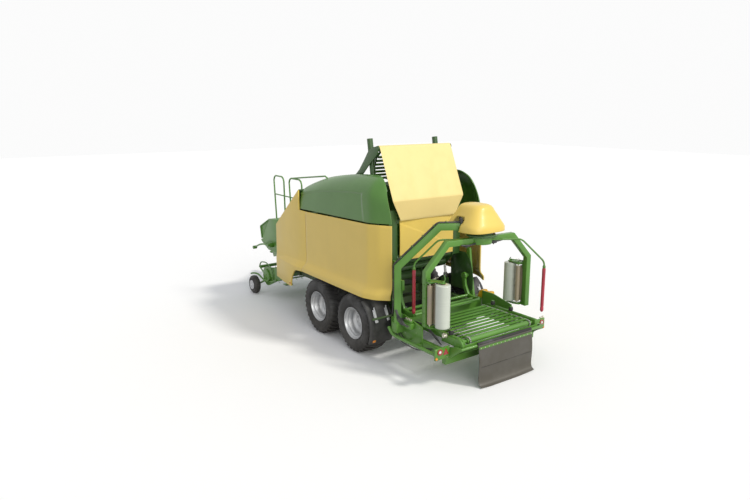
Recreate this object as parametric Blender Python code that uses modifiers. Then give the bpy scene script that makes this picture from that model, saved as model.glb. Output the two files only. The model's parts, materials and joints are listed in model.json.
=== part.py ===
# Towed round baler with a twin-arm bale wrapper behind it.
# Metres, +Z up, +Y forward, +X right. Places are measured from the rear axle's line on the
# ground, and one empty puts the middle of the machine's length over the origin.

import math

import bmesh
import bpy
from mathutils import Matrix, Vector

# Running gear
TYRE_RADIUS = 0.57
TYRE_WIDTH = 0.50
TYRE_TREAD_DROP = 0.012
RIM_SEAT_RADIUS = 0.290
RIM_FLANGE_RADIUS = 0.307
RIM_WALL = 0.012
RIM_WELL_RADIUS = 0.245
RIM_DISC_INSET = 0.20
HUB_RADIUS = 0.105
HUB_DEPTH = 0.075
HALF_WIDTH_OVER_TYRES = 1.45
AXLE_SPACING = 1.30
SPINDLE_RADIUS = 0.045
DRUM_RADIUS = 0.20
DRUM_DEPTH = 0.14
WALKING_BEAM_X = 0.83
WALKING_BEAM_THICK = 0.07
WALKING_BEAM_END_HEIGHT = 0.16
WALKING_BEAM_MID_HEIGHT = 0.26
CROSS_AXLE_SIDE = 0.14
MUDGUARD_CLEARANCE = 0.055
MUDGUARD_THICK = 0.012
MUDGUARD_OVERHANG = 0.02
MUDGUARD_LIP = 0.05
MUDGUARD_STAY_RADIUS = 0.022
MUDGUARD_STAY_HEIGHT = 0.80

# Main frame and drawbar
RAIL_X = 0.69
RAIL_WIDTH = 0.10
RAIL_BOTTOM = 0.70
RAIL_HEIGHT = 0.18
FRAME_REAR = -0.75
FRAME_FRONT = 3.39
FRONT_BEAM_DEPTH = 0.12
FRONT_BEAM_TOP = 1.22
CROSS_BEAM = 0.10
DRAWBAR_WIDTH = 0.20
DRAWBAR_DEPTH = 0.20
DRAWBAR_BEND = 5.25
DRAWBAR_NOSE = 6.12
HITCH_HEIGHT = 0.62
HITCH_EYE_LENGTH = 0.20
HITCH_EYE_RADIUS = 0.085
HITCH_EYE_WALL = 0.028
JACK_BACK = 5.00
JACK_PIVOT_HEIGHT = 0.98
JACK_X = -0.235
JACK_LEG = 0.09
JACK_FOOT = 0.20
JACK_FOOT_THICK = 0.015
GEARBOX_LENGTH = 0.34
GEARBOX_WIDTH = 0.36
GEARBOX_HEIGHT = 0.30
GEARBOX_REAR = 4.62
PTO_STUB_RADIUS = 0.035
PTO_STUB_LENGTH = 0.16

# Bale chamber between the frame and the covers
CHAMBER_WALL_X = 0.655
CHAMBER_WALL = 0.03
CHAMBER_REAR = 0.50
CHAMBER_TOP = 3.06
CHAMBER_FRONT = 3.25
BULKHEAD_TOP = 2.00
BULKHEAD_BOTTOM = 1.24
DECK_REAR = 2.25
DECK_TOP = 2.85
CHAMBER_FLOOR_REAR = 0.85
CHAMBER_FLOOR_Z = 0.97
CHAMBER_FLOOR = 0.02
FLOOR_ROLLER_Y = 0.60
FLOOR_ROLLER_Z = 1.10
FLOOR_ROLLER_RADIUS = 0.08
ELEVATOR_CENTRE_Y = 0.45
ELEVATOR_CENTRE_Z = 1.85
ELEVATOR_RADIUS = 0.80
ELEVATOR_BAND = 0.05
ELEVATOR_BAND_X = 0.58
ELEVATOR_BAND_THICK = 0.03
SLAT_RADIUS = 0.022
STAY_RADIUS = 0.02
STAY_PLACES = (1.95, 1.30)
COVER_STAY_Z = 2.60
DOOR_STAY_Z = 2.38

# Cream panels and green covers
PANEL_X = 1.30
PANEL_THICK = 0.03
SKIRT_X = 1.42
CREASE_HEIGHT = 1.33
SKIRT_SHOULDER = 1.22
DOOR_SPLIT = 1.97
DOOR_GAP = 0.012
DOOR_TOP_FRONT = 2.43
DOOR_TOP_REAR = 2.50
DOOR_BOTTOM_FRONT = 1.165
DOOR_BOTTOM_REAR = 1.145
DOOR_CREASE_1 = -0.34
DOOR_CREASE_2 = -0.60
DOOR_CREASE_2_X = 1.22
DOOR_REAR = -0.79
DOOR_REAR_X = 1.10
FRONT_PANEL_FRONT = 3.39
FRONT_PANEL_BROW = 3.34
FRONT_PANEL_BROW_HEIGHT = 1.97
FRONT_PANEL_BOTTOM = 0.72
FRONT_PANEL_TOE = 2.56
FRONT_PANEL_SLOPE_FOOT = 3.07
FRONT_PANEL_SLOPE_FOOT_HEIGHT = 2.19
FRONT_PANEL_PEAK_HEIGHT = 2.85
ARCH_RADIUS = 0.52
COVER_X = 1.27
COVER_SHOULDER_X = 1.20
COVER_INNER_X = 0.95
COVER_THICK = 0.02
COVER_GAP = 0.016
COVER_FRONT = 2.22
COVER_TOP = 3.33
COVER_REAR = -0.77

# Net box, lid and rails on the front
NET_BOX_HALF = 1.15
NET_BOX_WALL = 0.02
NET_BOX_REAR = 3.42
NET_BOX_BOTTOM = 1.22
NET_BOX_TOE = 4.13
NET_BOX_CHIN = 4.50
NET_BOX_CHIN_HEIGHT = 1.38
NET_BOX_NOSE = 4.57
NET_BOX_NOSE_HEIGHT = 1.73
NET_BOX_BROW = 4.04
NET_BOX_BROW_HEIGHT = 1.98
NET_BOX_TOP = 2.04
RAIL_TUBE = 0.018
RAIL_PLANE_X = 1.00
HOOP_FRONT = 3.96
HOOP_REAR = 3.46
HOOP_TOP = 3.00
HOOP_BAR = 2.57
SECOND_HOOP_FRONT = 3.20
SECOND_HOOP_REAR = 2.62
HOOP_CORNER = 0.10
TOP_RAIL_END = 1.51
TOP_RAIL_HEIGHT = 3.17
TOP_RAIL_FOOT = 3.052

# Pick-up under the front
PICKUP_PIVOT_Y = 3.33
PICKUP_PIVOT_Z = 0.80
PICKUP_PLATE_X = 1.07
PICKUP_PLATE = 0.02
PICKUP_TUBE_RADIUS = 0.045
REEL_Y = 4.42
REEL_Z = 0.49
REEL_CORE_RADIUS = 0.09
REEL_TINE_BAR_RADIUS = 0.17
TINE_TIP_RADIUS = 0.28
TINE_RADIUS = 0.006
TINE_PITCH = 0.16
SHIELD_RADIUS = 0.235
REEL_END_GAP = 0.012
CROP_ROLLER_Y = 4.84
CROP_ROLLER_Z = 0.64
CROP_ROLLER_RADIUS = 0.04
GAUGE_X = 1.25
GAUGE_Y = 4.80
GAUGE_RADIUS = 0.225
GAUGE_WIDTH = 0.16
GAUGE_AXLE_RADIUS = 0.018
GAUGE_ARM_RADIUS = 0.024

# Tailgate with the tension frame, its cylinders and the curtain
TAILGATE_PIVOT_Y = 1.00
TAILGATE_PIVOT_Z = 3.00
TAILGATE_PLATE_X = 0.695
TAILGATE_PLATE = 0.025
TAILGATE_REAR = -0.41
TAILGATE_BOTTOM = 1.68
TAILGATE_FLANGE_X = 0.87
TAILGATE_FLANGE = 0.015
TAILGATE_TUBE_RADIUS = 0.04
GATE_ROLLER_RADIUS = 0.06
GATE_ROLLER_PLACES = ((-0.31, 1.70), (-0.16, 1.52))
REAR_DOOR_HALF = 0.66
REAR_DOOR_BOTTOM = 1.75
REAR_DOOR_TOP = 2.52
REAR_DOOR_THICK = 0.02
REAR_DOOR_BULGE = 0.04
TENSION_PLATE_X = 0.875
TENSION_PLATE = 0.02
TOP_ROLLER_Y = -0.05
TOP_ROLLER_Z = 3.79
TOP_ROLLER_RADIUS = 0.05
CURTAIN_HALF_TOP = 0.85
CURTAIN_HALF_BOTTOM = 0.68
CURTAIN_THICK = 0.008
CURTAIN_FOLD_Y = -0.50
CURTAIN_FOLD_Z = 2.88
CURTAIN_BOTTOM_Y = -0.475
CURTAIN_BOTTOM_Z = 2.56
CYLINDER_X = 0.785
TRUNNION_Y = 0.26
TRUNNION_Z = 3.63
TRUNNION_RADIUS = 0.025
BARREL_RADIUS = 0.055
BARREL_BORE = 0.0256
BARREL_ABOVE = 0.33
BARREL_BELOW = 1.75
ROD_RADIUS = 0.025
ROD_IN_BARREL = 1.20
ROD_FOOT_Y = -0.10
ROD_FOOT_Z = 1.20
ROD_EYE_RADIUS = 0.05
ROD_EYE_PIN = 0.02

# Wrapping section
ROTOR_Y = -1.87
WRAP_BEAM_X = 1.04
WRAP_BEAM_WIDTH = 0.08
WRAP_BEAM_HEIGHT = 0.14
WRAP_BEAM_BOTTOM = 0.50
WRAP_FRONT_BEAM = 0.12
WRAP_REAR = -2.25
SIDE_PLATE_FRONT = -0.88
SIDE_PLATE_REAR = -1.66
SIDE_PLATE_TOP = 0.98
SIDE_PLATE_THICK = 0.02
GANTRY_FOOT_X = -1.20
GANTRY_FOOT_Y = -1.10
GANTRY_SECTION = 0.12
GANTRY_ELBOW_Z = 1.86
GANTRY_TOP_Z = 2.545
GANTRY_SHOULDER_SHARE = 0.50
HOSE_RADIUS = 0.013
HOSE_SPACING = 0.034
HOOD_BASE_Z = 2.46
HOOD_SKIRT = 0.10
HOOD_TOP_Z = 2.91
HOOD_X = 0.04
HOOD_AHEAD = 0.14
HOOD_HALF_X = 0.43
HOOD_HALF_Y = 0.49
HOOD_TOP_HALF_X = 0.17
HOOD_TOP_HALF_Y = 0.24
HOOD_THICK = 0.015
HUB_PLATE_RADIUS = 0.20
HUB_TOP_Z = 2.40
ARM_SECTION = 0.10
ARM_Z = 2.31
ARM_SHOULDER_RADIUS = 0.72
ARM_RADIUS = 1.12
ARM_ELBOW_Z = 1.88
ARM_FOOT_Z = 0.945
ARM_REST_ANGLE = math.radians(4.6)
BAR_TUBE_RADIUS = 0.016
BAR_ROD_RADIUS = 0.032
BAR_TOP_Z = 1.80
BAR_FOOT_Z = 0.99
BAR_RADIUS = 1.14
BAR_LEAD = math.radians(29)
FILM_HEIGHT = 0.75
FILM_RADIUS = 0.125
FILM_CORE_RADIUS = 0.038
FILM_FOOT_Z = 0.985
FILM_INSET = 0.12
FILM_SWING = 0.30
STRETCH_ROLLER_RADIUS = 0.045
STRETCH_PLATE = 0.02
LIFTER_X = 0.80
LIFTER_PIVOT_Y = -0.64
LIFTER_PIVOT_Z = 1.28
LIFTER_ARM_THICK = 0.05
LIFTER_TUBE_RADIUS = 0.03
LIFTER_REACH = 0.44
TABLE_HALF = 0.90
TABLE_FRONT = -1.24
TABLE_REAR = -2.455
TABLE_TOP = 0.845
TABLE_SIDE_WIDTH = 0.06
TABLE_SIDE_HEIGHT = 0.10
TABLE_PIVOT_Y = -1.30
TABLE_PIVOT_Z = 0.68
TABLE_ROLLER_RADIUS = 0.055
TABLE_BAR_WIDTH = 0.07
TABLE_BAR_HEIGHT = 0.03
TABLE_CHAIN_X = 0.72
TABLE_CHAIN = 0.03
TABLE_CHAIN_THICK = 0.02
GUIDE_RADIUS = 0.04
GUIDE_HEIGHT = 0.09
MAT_HALF = 0.642
MAT_THICK = 0.012
MAT_TOP_Z = 0.72
MAT_TUBE_Y = -2.514
MAT_SWELL = 0.045
MAT_TIP = -2.676
MAT_FLOOR_GAP = 0.008
MAT_TUBE_RADIUS = 0.025
BOARD_IN = 1.01
BOARD_OUT = 1.33
BOARD_LOW = 0.53
BOARD_HIGH = 0.74
BOARD_THICK = 0.02
GUARD_X = 1.27
GUARD_RADIUS = 0.03
GUARD_FRONT = -0.92
GUARD_FRONT_Z = 0.74
GUARD_BEND = -1.05
GUARD_Z = 0.61
CHOCK_Y = -0.92
CHOCK_Z = 0.80
CHOCK_LENGTH = 0.36
CHOCK_HEIGHT = 0.19
CHOCK_WIDTH = 0.14

# Running gaps
SEAT = 0.0003
OVERLAP = 0.01
RUNNING_GAP = 0.012

FRONT_REACH = DRAWBAR_NOSE + HITCH_EYE_LENGTH + HITCH_EYE_RADIUS
REAR_REACH = MAT_TIP - MAT_THICK / 2
ORIGIN_Y = -(FRONT_REACH + REAR_REACH) / 2
HUB_Z = TYRE_RADIUS
ROTOR = Vector((0, ROTOR_Y, 0))

WHEEL_STEPS = 24
ROUND_STEPS = 24
ROD_SIDES = 12
ROLLER_SIDES = 16
SLAT_SIDES = 6
STAY_SIDES = 8
TINE_SIDES = 4
TUBE_STEPS = 2
TINE_BARS = 5
WHEELS = (("rear_left", -1, 0), ("rear_right", 1, 0),
          ("front_left", -1, AXLE_SPACING), ("front_right", 1, AXLE_SPACING))
SIDES = (("left", -1), ("right", 1))

for old in list(bpy.data.objects):
    bpy.data.objects.remove(old)

PARTS = bpy.data.collections.new("bale_wrapper")
bpy.context.scene.collection.children.link(PARTS)
SHOP = bpy.data.collections.new("guides")
bpy.context.scene.collection.children.link(SHOP)


# Paints and metals: colour, roughness, metallic
FINISHES = {}
for finish, colour, roughness, metallic in (
        ("cream_paint", (0.80, 0.68, 0.33), 0.35, 0.0),
        ("green_paint", (0.10, 0.27, 0.05), 0.40, 0.0),
        ("dark_green_paint", (0.045, 0.13, 0.03), 0.50, 0.0),
        ("black_rubber", (0.02, 0.02, 0.02), 0.80, 0.0),
        ("grey_rubber", (0.08, 0.075, 0.065), 0.60, 0.0),
        ("black_plastic", (0.03, 0.03, 0.03), 0.45, 0.0),
        ("silver_paint", (0.55, 0.56, 0.58), 0.35, 0.6),
        ("bright_steel", (0.60, 0.60, 0.58), 0.30, 1.0),
        ("yellow_plastic", (0.90, 0.55, 0.02), 0.40, 0.0),
        ("red_paint", (0.42, 0.012, 0.035), 0.35, 0.0),
        ("cream_fabric", (0.85, 0.74, 0.42), 0.70, 0.0),
        ("white_film", (0.62, 0.68, 0.60), 0.25, 0.0)):
    made = bpy.data.materials.new(finish)
    made.use_nodes = True
    shader = made.node_tree.nodes["Principled BSDF"]
    shader.inputs["Base Color"].default_value = (*colour, 1.0)
    shader.inputs["Roughness"].default_value = roughness
    shader.inputs["Metallic"].default_value = metallic
    FINISHES[finish] = made


def as_object(name, bm, place=Matrix.Identity(4)):
    mesh = bpy.data.meshes.new(name)
    bm.to_mesh(mesh)
    bm.free()
    made_object = bpy.data.objects.new(name, mesh)
    made_object.matrix_world = place
    SHOP.objects.link(made_object)
    return made_object


def settle(source):
    """Swap an object for the mesh that its modifiers or its curve give, in the machine's frame."""
    bpy.context.view_layer.update()
    seen = source.evaluated_get(bpy.context.evaluated_depsgraph_get())
    mesh = bpy.data.meshes.new_from_object(seen)
    mesh.transform(source.matrix_world)
    bm = bmesh.new()
    bm.from_mesh(mesh)
    bmesh.ops.remove_doubles(bm, verts=bm.verts, dist=SEAT / 3)
    name = source.name
    bpy.data.objects.remove(source)
    return as_object(name, bm)


def block(low, high):
    size = [abs(b - a) for a, b in zip(low, high)]
    middle = [(a + b) / 2 for a, b in zip(low, high)]
    bm = bmesh.new()
    place = Matrix.Translation(middle) @ Matrix.Diagonal((*size, 1))
    bmesh.ops.create_cube(bm, size=1, matrix=place)
    return as_object("block", bm)


def along(start, end):
    """A frame at the middle of a line, its Z axis along it."""
    start, end = Vector(start), Vector(end)
    turn = (end - start).to_track_quat("Z", "Y").to_matrix().to_4x4()
    return Matrix.Translation((start + end) / 2) @ turn


def round_bar(start, end, radius, end_radius=None, sides=ROD_SIDES):
    bm = bmesh.new()
    bmesh.ops.create_cone(
        bm, cap_ends=True, segments=sides, radius1=radius,
        radius2=radius if end_radius is None else end_radius,
        depth=(Vector(end) - Vector(start)).length, matrix=along(start, end))
    return as_object("round_bar", bm)


def pipe(points, radius, detail=TUBE_STEPS, closed=False):
    curve = bpy.data.curves.new("pipe", "CURVE")
    curve.dimensions = "3D"
    curve.bevel_depth = radius
    curve.bevel_resolution = detail
    curve.use_fill_caps = True
    line = curve.splines.new("POLY")
    line.points.add(len(points) - 1)
    for point, place in zip(line.points, points):
        point.co = (*place, 1)
    line.use_cyclic_u = closed
    made_object = bpy.data.objects.new("pipe", curve)
    SHOP.objects.link(made_object)
    return settle(made_object)


SIDE_VIEW = Matrix(((0, 0, 1, 0), (1, 0, 0, 0), (0, 1, 0, 0), (0, 0, 0, 1)))
TOP_VIEW = Matrix.Identity(4)


def sheet_metal(outline, thickness, middle, view=SIDE_VIEW, holes=()):
    """A flat outline given half its thickness to each side of its middle plane."""
    curve = bpy.data.curves.new("sheet_metal", "CURVE")
    curve.dimensions = "2D"
    curve.fill_mode = "BOTH"
    curve.extrude = thickness / 2
    for ring in (outline, *holes):
        line = curve.splines.new("POLY")
        line.points.add(len(ring) - 1)
        for point, place in zip(line.points, ring):
            point.co = (*place, 0, 1)
        line.use_cyclic_u = True
    made_object = bpy.data.objects.new("sheet_metal", curve)
    made_object.matrix_world = Matrix.Translation(middle) @ view
    SHOP.objects.link(made_object)
    return settle(made_object)


def turned(profile, place, steps=ROUND_STEPS, closed=False):
    """Turn (radius, height) points about Z, then put the axis where place says."""
    mesh = bpy.data.meshes.new("turned")
    points = [(radius, 0, height) for radius, height in profile]
    edges = [(i, i + 1) for i in range(len(points) - 1)]
    if closed:
        edges.append((len(points) - 1, 0))
    mesh.from_pydata(points, edges, [])
    made_object = bpy.data.objects.new("turned", mesh)
    made_object.matrix_world = place
    SHOP.objects.link(made_object)
    screw = made_object.modifiers.new("turn", "SCREW")
    screw.axis = "Z"
    screw.steps = steps
    screw.render_steps = steps
    screw.use_merge_vertices = True
    screw.merge_threshold = 0.0001
    return settle(made_object)


def shell(sections, thickness):
    """A skin through rows of points, given half its thickness to each side."""
    bm = bmesh.new()
    rows = [[bm.verts.new(point) for point in section] for section in sections]
    for row, following in zip(rows, rows[1:]):
        for i in range(len(row) - 1):
            bm.faces.new((row[i], row[i + 1], following[i + 1], following[i]))
    bmesh.ops.triangulate(bm, faces=bm.faces, quad_method="FIXED")
    made_object = as_object("shell", bm)
    wall = made_object.modifiers.new("wall", "SOLIDIFY")
    wall.thickness = thickness
    wall.offset = 0
    wall.use_even_offset = True
    return settle(made_object)


def box_tube(points, across, width, depth):
    """A box section along points in one plane, mitred; across is that plane's normal."""
    points = [Vector(point) for point in points]
    across = Vector(across).normalized()
    runs = [(b - a).normalized() for a, b in zip(points, points[1:])]
    bm = bmesh.new()
    rings = []
    for i, point in enumerate(points):
        before, after = runs[max(i - 1, 0)], runs[min(i, len(runs) - 1)]
        rise_before, rise_after = across.cross(before), across.cross(after)
        rise = (rise_before + rise_after).normalized()
        rise *= depth / 2 / rise.dot(rise_after)
        side = across * width / 2
        rings.append([bm.verts.new(point + corner)
                      for corner in (side + rise, rise - side, -side - rise, side - rise)])
    bm.faces.new(rings[0])
    bm.faces.new(reversed(rings[-1]))
    for ring, following in zip(rings, rings[1:]):
        for i in range(len(ring)):
            j = (i + 1) % len(ring)
            bm.faces.new((ring[i], ring[j], following[j], following[i]))
    bmesh.ops.recalc_face_normals(bm, faces=bm.faces)
    return as_object("box_tube", bm)


def join(base, others, operation="UNION"):
    """One closed body out of pieces that run into each other, or a base with others cut away."""
    group = bpy.data.collections.new("group")
    bpy.context.scene.collection.children.link(group)
    for other in others:
        SHOP.objects.unlink(other)
        group.objects.link(other)
    blend = base.modifiers.new("join", "BOOLEAN")
    blend.operation = operation
    blend.solver = "EXACT"
    blend.operand_type = "COLLECTION"
    blend.collection = group
    result = settle(base)
    for other in list(group.objects):
        bpy.data.objects.remove(other)
    bpy.data.collections.remove(group)
    return result


def part(name, finish, pieces, holder, cuts=()):
    """Fuse the pieces of one sub-part, name it, paint it and hang it on its holder."""
    body = join(pieces[0], pieces[1:]) if len(pieces) > 1 else pieces[0]
    if cuts:
        body = join(body, list(cuts), "DIFFERENCE")
    SHOP.objects.unlink(body)
    PARTS.objects.link(body)
    body.name = name
    body.data.name = name
    body.data.materials.clear()
    body.data.materials.append(FINISHES[finish])
    body.data.shade_smooth()
    body.data.set_sharp_from_angle(angle=math.radians(35))
    place = holder.matrix_world.copy()
    body.data.transform(Matrix.Translation(-pivot_place[holder.name]))
    body.parent = holder
    body.matrix_world = place
    return body


pivot_place = {}


def pivot(name, x, y, z, parent=None):
    """An empty on a joint's axis, in the machine's frame."""
    empty = bpy.data.objects.new(name, None)
    PARTS.objects.link(empty)
    pivot_place[name] = Vector((x, y, z))
    empty.parent = parent
    base = pivot_place[parent.name] if parent else Vector((0, 0, 0))
    empty.location = pivot_place[name] - base if parent else Vector((x, y, z)) + Vector((0, ORIGIN_Y, 0))
    bpy.context.view_layer.update()
    return empty


def arc(centre, radius, start, end, count):
    """Points on an arc of the side view, angles from +Y towards +Z."""
    angles = [start + (end - start) * i / (count - 1) for i in range(count)]
    return [(centre[0] + radius * math.cos(a), centre[1] + radius * math.sin(a)) for a in angles]


def mirror_x(points, side):
    return [(side * x, y, z) for x, y, z in points]


chassis = pivot("chassis", 0, 0, 0)


# Tandem unit: a cross axle, two walking beams and four spindles with brake drums
spindle_end = HALF_WIDTH_OVER_TYRES - RIM_DISC_INSET - HUB_DEPTH
beam_face = WALKING_BEAM_X + WALKING_BEAM_THICK / 2
cross_y = AXLE_SPACING / 2
pieces = [block((-beam_face - OVERLAP, cross_y - CROSS_AXLE_SIDE / 2, HUB_Z - CROSS_AXLE_SIDE / 2),
                (beam_face + OVERLAP, cross_y + CROSS_AXLE_SIDE / 2, HUB_Z + CROSS_AXLE_SIDE / 2))]
end, mid = WALKING_BEAM_END_HEIGHT / 2, WALKING_BEAM_MID_HEIGHT / 2
beam_outline = [(-end, HUB_Z - end), (cross_y, HUB_Z - mid), (AXLE_SPACING + end, HUB_Z - end),
                (AXLE_SPACING + end, HUB_Z + end), (cross_y, HUB_Z + mid - end), (-end, HUB_Z + end)]
for label, side in SIDES:
    pieces.append(sheet_metal(beam_outline, WALKING_BEAM_THICK, (side * WALKING_BEAM_X, 0, 0)))
    pieces.append(block((side * (RAIL_X - RAIL_WIDTH / 2), cross_y - CROSS_BEAM, HUB_Z),
                        (side * (RAIL_X + RAIL_WIDTH / 2), cross_y + CROSS_BEAM, RAIL_BOTTOM - SEAT)))
    for y in (0, AXLE_SPACING):
        pieces.append(round_bar((side * WALKING_BEAM_X, y, HUB_Z),
                                (side * (spindle_end - SEAT), y, HUB_Z), SPINDLE_RADIUS))
        pieces.append(round_bar((side * (beam_face - OVERLAP), y, HUB_Z),
                                (side * (beam_face + DRUM_DEPTH), y, HUB_Z), DRUM_RADIUS,
                                sides=ROLLER_SIDES))
part("tandem_axle", "dark_green_paint", pieces, chassis)

# Wheels: each a tyre on a dished rim, turning on its spindle
half = TYRE_WIDTH / 2
seat = RIM_SEAT_RADIUS
tread = TYRE_RADIUS
side_wall_height = tread - seat
tyre_shares = ((0.76, 0.0), (0.84, 0.12), (1.0, 0.45), (0.98, 0.72), (0.86, 0.93), (0.66, 1.0))
for label, side, y in WHEELS:
    hub = pivot("wheel_" + label, side * (HALF_WIDTH_OVER_TYRES - half), y, HUB_Z, chassis)
    place = Matrix.Translation(pivot_place[hub.name]) @ Matrix.Rotation(side * math.pi / 2, 4, "Y")
    outer = [(seat + side_wall_height * up, half * out) for out, up in tyre_shares]
    crown = [(tread - TYRE_TREAD_DROP / 4, half * tyre_shares[-1][0] / 2)]
    across = outer + crown
    ring = across + [(r, -h) for r, h in reversed(across)]
    part("tyre_" + label, "black_rubber",
         [turned(ring, place, WHEEL_STEPS, closed=True)], hub)
    lip = tyre_shares[0][0] * half
    disc = half - RIM_DISC_INSET
    edge = lip - SEAT
    rim = [(0, disc), (HUB_RADIUS, disc), (HUB_RADIUS, disc - HUB_DEPTH / 2),
           (RIM_WELL_RADIUS - RIM_WALL * 3, disc - HUB_DEPTH / 2), (RIM_WELL_RADIUS - RIM_WALL, disc),
           (seat - RIM_WALL, lip * 0.75), (RIM_FLANGE_RADIUS - RIM_WALL, half - RIM_WALL * 2),
           (RIM_FLANGE_RADIUS, half - RIM_WALL * 2), (seat - SEAT, lip), (seat - SEAT, lip * 0.7),
           (RIM_WELL_RADIUS, lip * 0.5), (RIM_WELL_RADIUS, -lip * 0.5), (seat - SEAT, -lip * 0.7),
           (seat - SEAT, -lip), (RIM_FLANGE_RADIUS - RIM_WALL, -lip - RIM_WALL),
           (RIM_WELL_RADIUS - RIM_WALL, -lip * 0.5), (RIM_WELL_RADIUS - RIM_WALL, disc - HUB_DEPTH),
           (0, disc - HUB_DEPTH)]
    part("rim_" + label, "silver_paint", [turned(rim, place, WHEEL_STEPS)], hub)

# Main frame: two rails, cross beams, the pick-up's cross tube and the mudguard stays
rail_top = RAIL_BOTTOM + RAIL_HEIGHT
stay_reach = TYRE_RADIUS + MUDGUARD_CLEARANCE + MUDGUARD_THICK + MUDGUARD_STAY_RADIUS + SEAT
stay_z = MUDGUARD_STAY_HEIGHT
stay_y = -math.sqrt(stay_reach ** 2 - (stay_z - HUB_Z) ** 2)
pieces = [block((-RAIL_X - RAIL_WIDTH, FRAME_FRONT - FRONT_BEAM_DEPTH, RAIL_BOTTOM - OVERLAP),
                (RAIL_X + RAIL_WIDTH, FRAME_FRONT, FRONT_BEAM_TOP))]
for y in (FRAME_REAR + CROSS_BEAM, cross_y, DOOR_SPLIT):
    pieces.append(block((-RAIL_X, y - CROSS_BEAM / 2, RAIL_BOTTOM + OVERLAP),
                        (RAIL_X, y + CROSS_BEAM / 2, rail_top - OVERLAP)))
for label, side in SIDES:
    pieces.append(block((side * (RAIL_X - RAIL_WIDTH / 2), FRAME_REAR, RAIL_BOTTOM),
                        (side * (RAIL_X + RAIL_WIDTH / 2), FRAME_FRONT - OVERLAP, rail_top)))
    pieces.append(round_bar((side * RAIL_X, stay_y, stay_z),
                            (side * (HALF_WIDTH_OVER_TYRES - MUDGUARD_LIP), stay_y, stay_z),
                            MUDGUARD_STAY_RADIUS))
    pieces.append(block((side * (RAIL_X + OVERLAP), ROD_FOOT_Y - CROSS_BEAM / 2, RAIL_BOTTOM + OVERLAP),
                        (side * (CYLINDER_X + ROD_EYE_RADIUS), ROD_FOOT_Y + CROSS_BEAM / 2,
                         ROD_FOOT_Z - ROD_EYE_RADIUS - RUNNING_GAP)))
pieces.append(round_bar((-PICKUP_PLATE_X + PICKUP_PLATE / 2 + SEAT, PICKUP_PIVOT_Y, PICKUP_PIVOT_Z),
                        (PICKUP_PLATE_X - PICKUP_PLATE / 2 - SEAT, PICKUP_PIVOT_Y, PICKUP_PIVOT_Z),
                        PICKUP_TUBE_RADIUS))
part("main_frame", "dark_green_paint", pieces, chassis)

# Mudguards behind the rear wheels
guard_radius = TYRE_RADIUS + MUDGUARD_CLEARANCE + MUDGUARD_THICK / 2
guard_in = HALF_WIDTH_OVER_TYRES - TYRE_WIDTH - MUDGUARD_OVERHANG
guard_out = HALF_WIDTH_OVER_TYRES - SEAT
for label, side in SIDES:
    rows = []
    for y, z in arc((0, HUB_Z), guard_radius, math.radians(123), math.radians(205), 12):
        inward = Vector((0, -y, HUB_Z - z)).normalized() * MUDGUARD_LIP
        rows.append(mirror_x([(guard_out, y + inward.y, z + inward.z), (guard_out, y, z),
                              (guard_in, y, z)], side))
    part("mudguard_" + label, "black_plastic", [shell(rows, MUDGUARD_THICK)], chassis)

# Drawbar with its towing eye
drawbar_z = NET_BOX_BOTTOM - SEAT - DRAWBAR_DEPTH / 2
eye_y = DRAWBAR_NOSE + HITCH_EYE_LENGTH
pieces = [box_tube([(0, FRAME_FRONT + SEAT, drawbar_z), (0, DRAWBAR_BEND, drawbar_z),
                    (0, DRAWBAR_NOSE, HITCH_HEIGHT)], (1, 0, 0), DRAWBAR_WIDTH, DRAWBAR_DEPTH)]
for label, side in SIDES:
    pieces.append(block((side * DRAWBAR_WIDTH / 2 - side * OVERLAP, FRAME_FRONT + SEAT,
                         drawbar_z - DRAWBAR_DEPTH / 2 + OVERLAP),
                        (side * (RAIL_X - RAIL_WIDTH), FRAME_FRONT + CROSS_BEAM,
                         drawbar_z + DRAWBAR_DEPTH / 2 - OVERLAP)))
pieces.append(block((-HITCH_EYE_WALL, DRAWBAR_NOSE - HITCH_EYE_RADIUS, HITCH_HEIGHT - HITCH_EYE_WALL),
                    (HITCH_EYE_WALL, eye_y - HITCH_EYE_RADIUS + HITCH_EYE_WALL / 2,
                     HITCH_HEIGHT + HITCH_EYE_WALL)))
ring_middle = HITCH_EYE_RADIUS - HITCH_EYE_WALL
ring = [(ring_middle + HITCH_EYE_WALL * math.cos(a), HITCH_EYE_WALL * math.sin(a))
        for a in (math.pi / 2 - math.pi / 4 * i for i in range(8))]
pieces.append(turned(ring, Matrix.Translation((0, eye_y, HITCH_HEIGHT)), closed=True))
jack_side = -DRAWBAR_WIDTH / 2
pieces.append(block((jack_side + OVERLAP, JACK_BACK - JACK_LEG / 2, JACK_PIVOT_HEIGHT),
                    (JACK_X + JACK_LEG / 2 + SEAT, JACK_BACK + JACK_LEG / 2,
                     JACK_PIVOT_HEIGHT + JACK_LEG)))
part("drawbar", "green_paint", pieces, chassis)

# Parking jack: a leg with a foot plate, swung forward on its pin when the machine is towed
jack = pivot("jack", JACK_X, JACK_BACK, JACK_PIVOT_HEIGHT + JACK_LEG / 2, chassis)
pieces = [block((JACK_X - JACK_LEG / 2, JACK_BACK - JACK_LEG / 2, JACK_FOOT_THICK / 2),
                (JACK_X + JACK_LEG / 2, JACK_BACK + JACK_LEG / 2, JACK_PIVOT_HEIGHT + JACK_LEG)),
          block((JACK_X - JACK_FOOT / 2, JACK_BACK - JACK_FOOT / 2, 0),
                (JACK_X + JACK_FOOT / 2, JACK_BACK + JACK_FOOT / 2, JACK_FOOT_THICK))]
part("jack_leg", "green_paint", pieces, jack)

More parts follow.
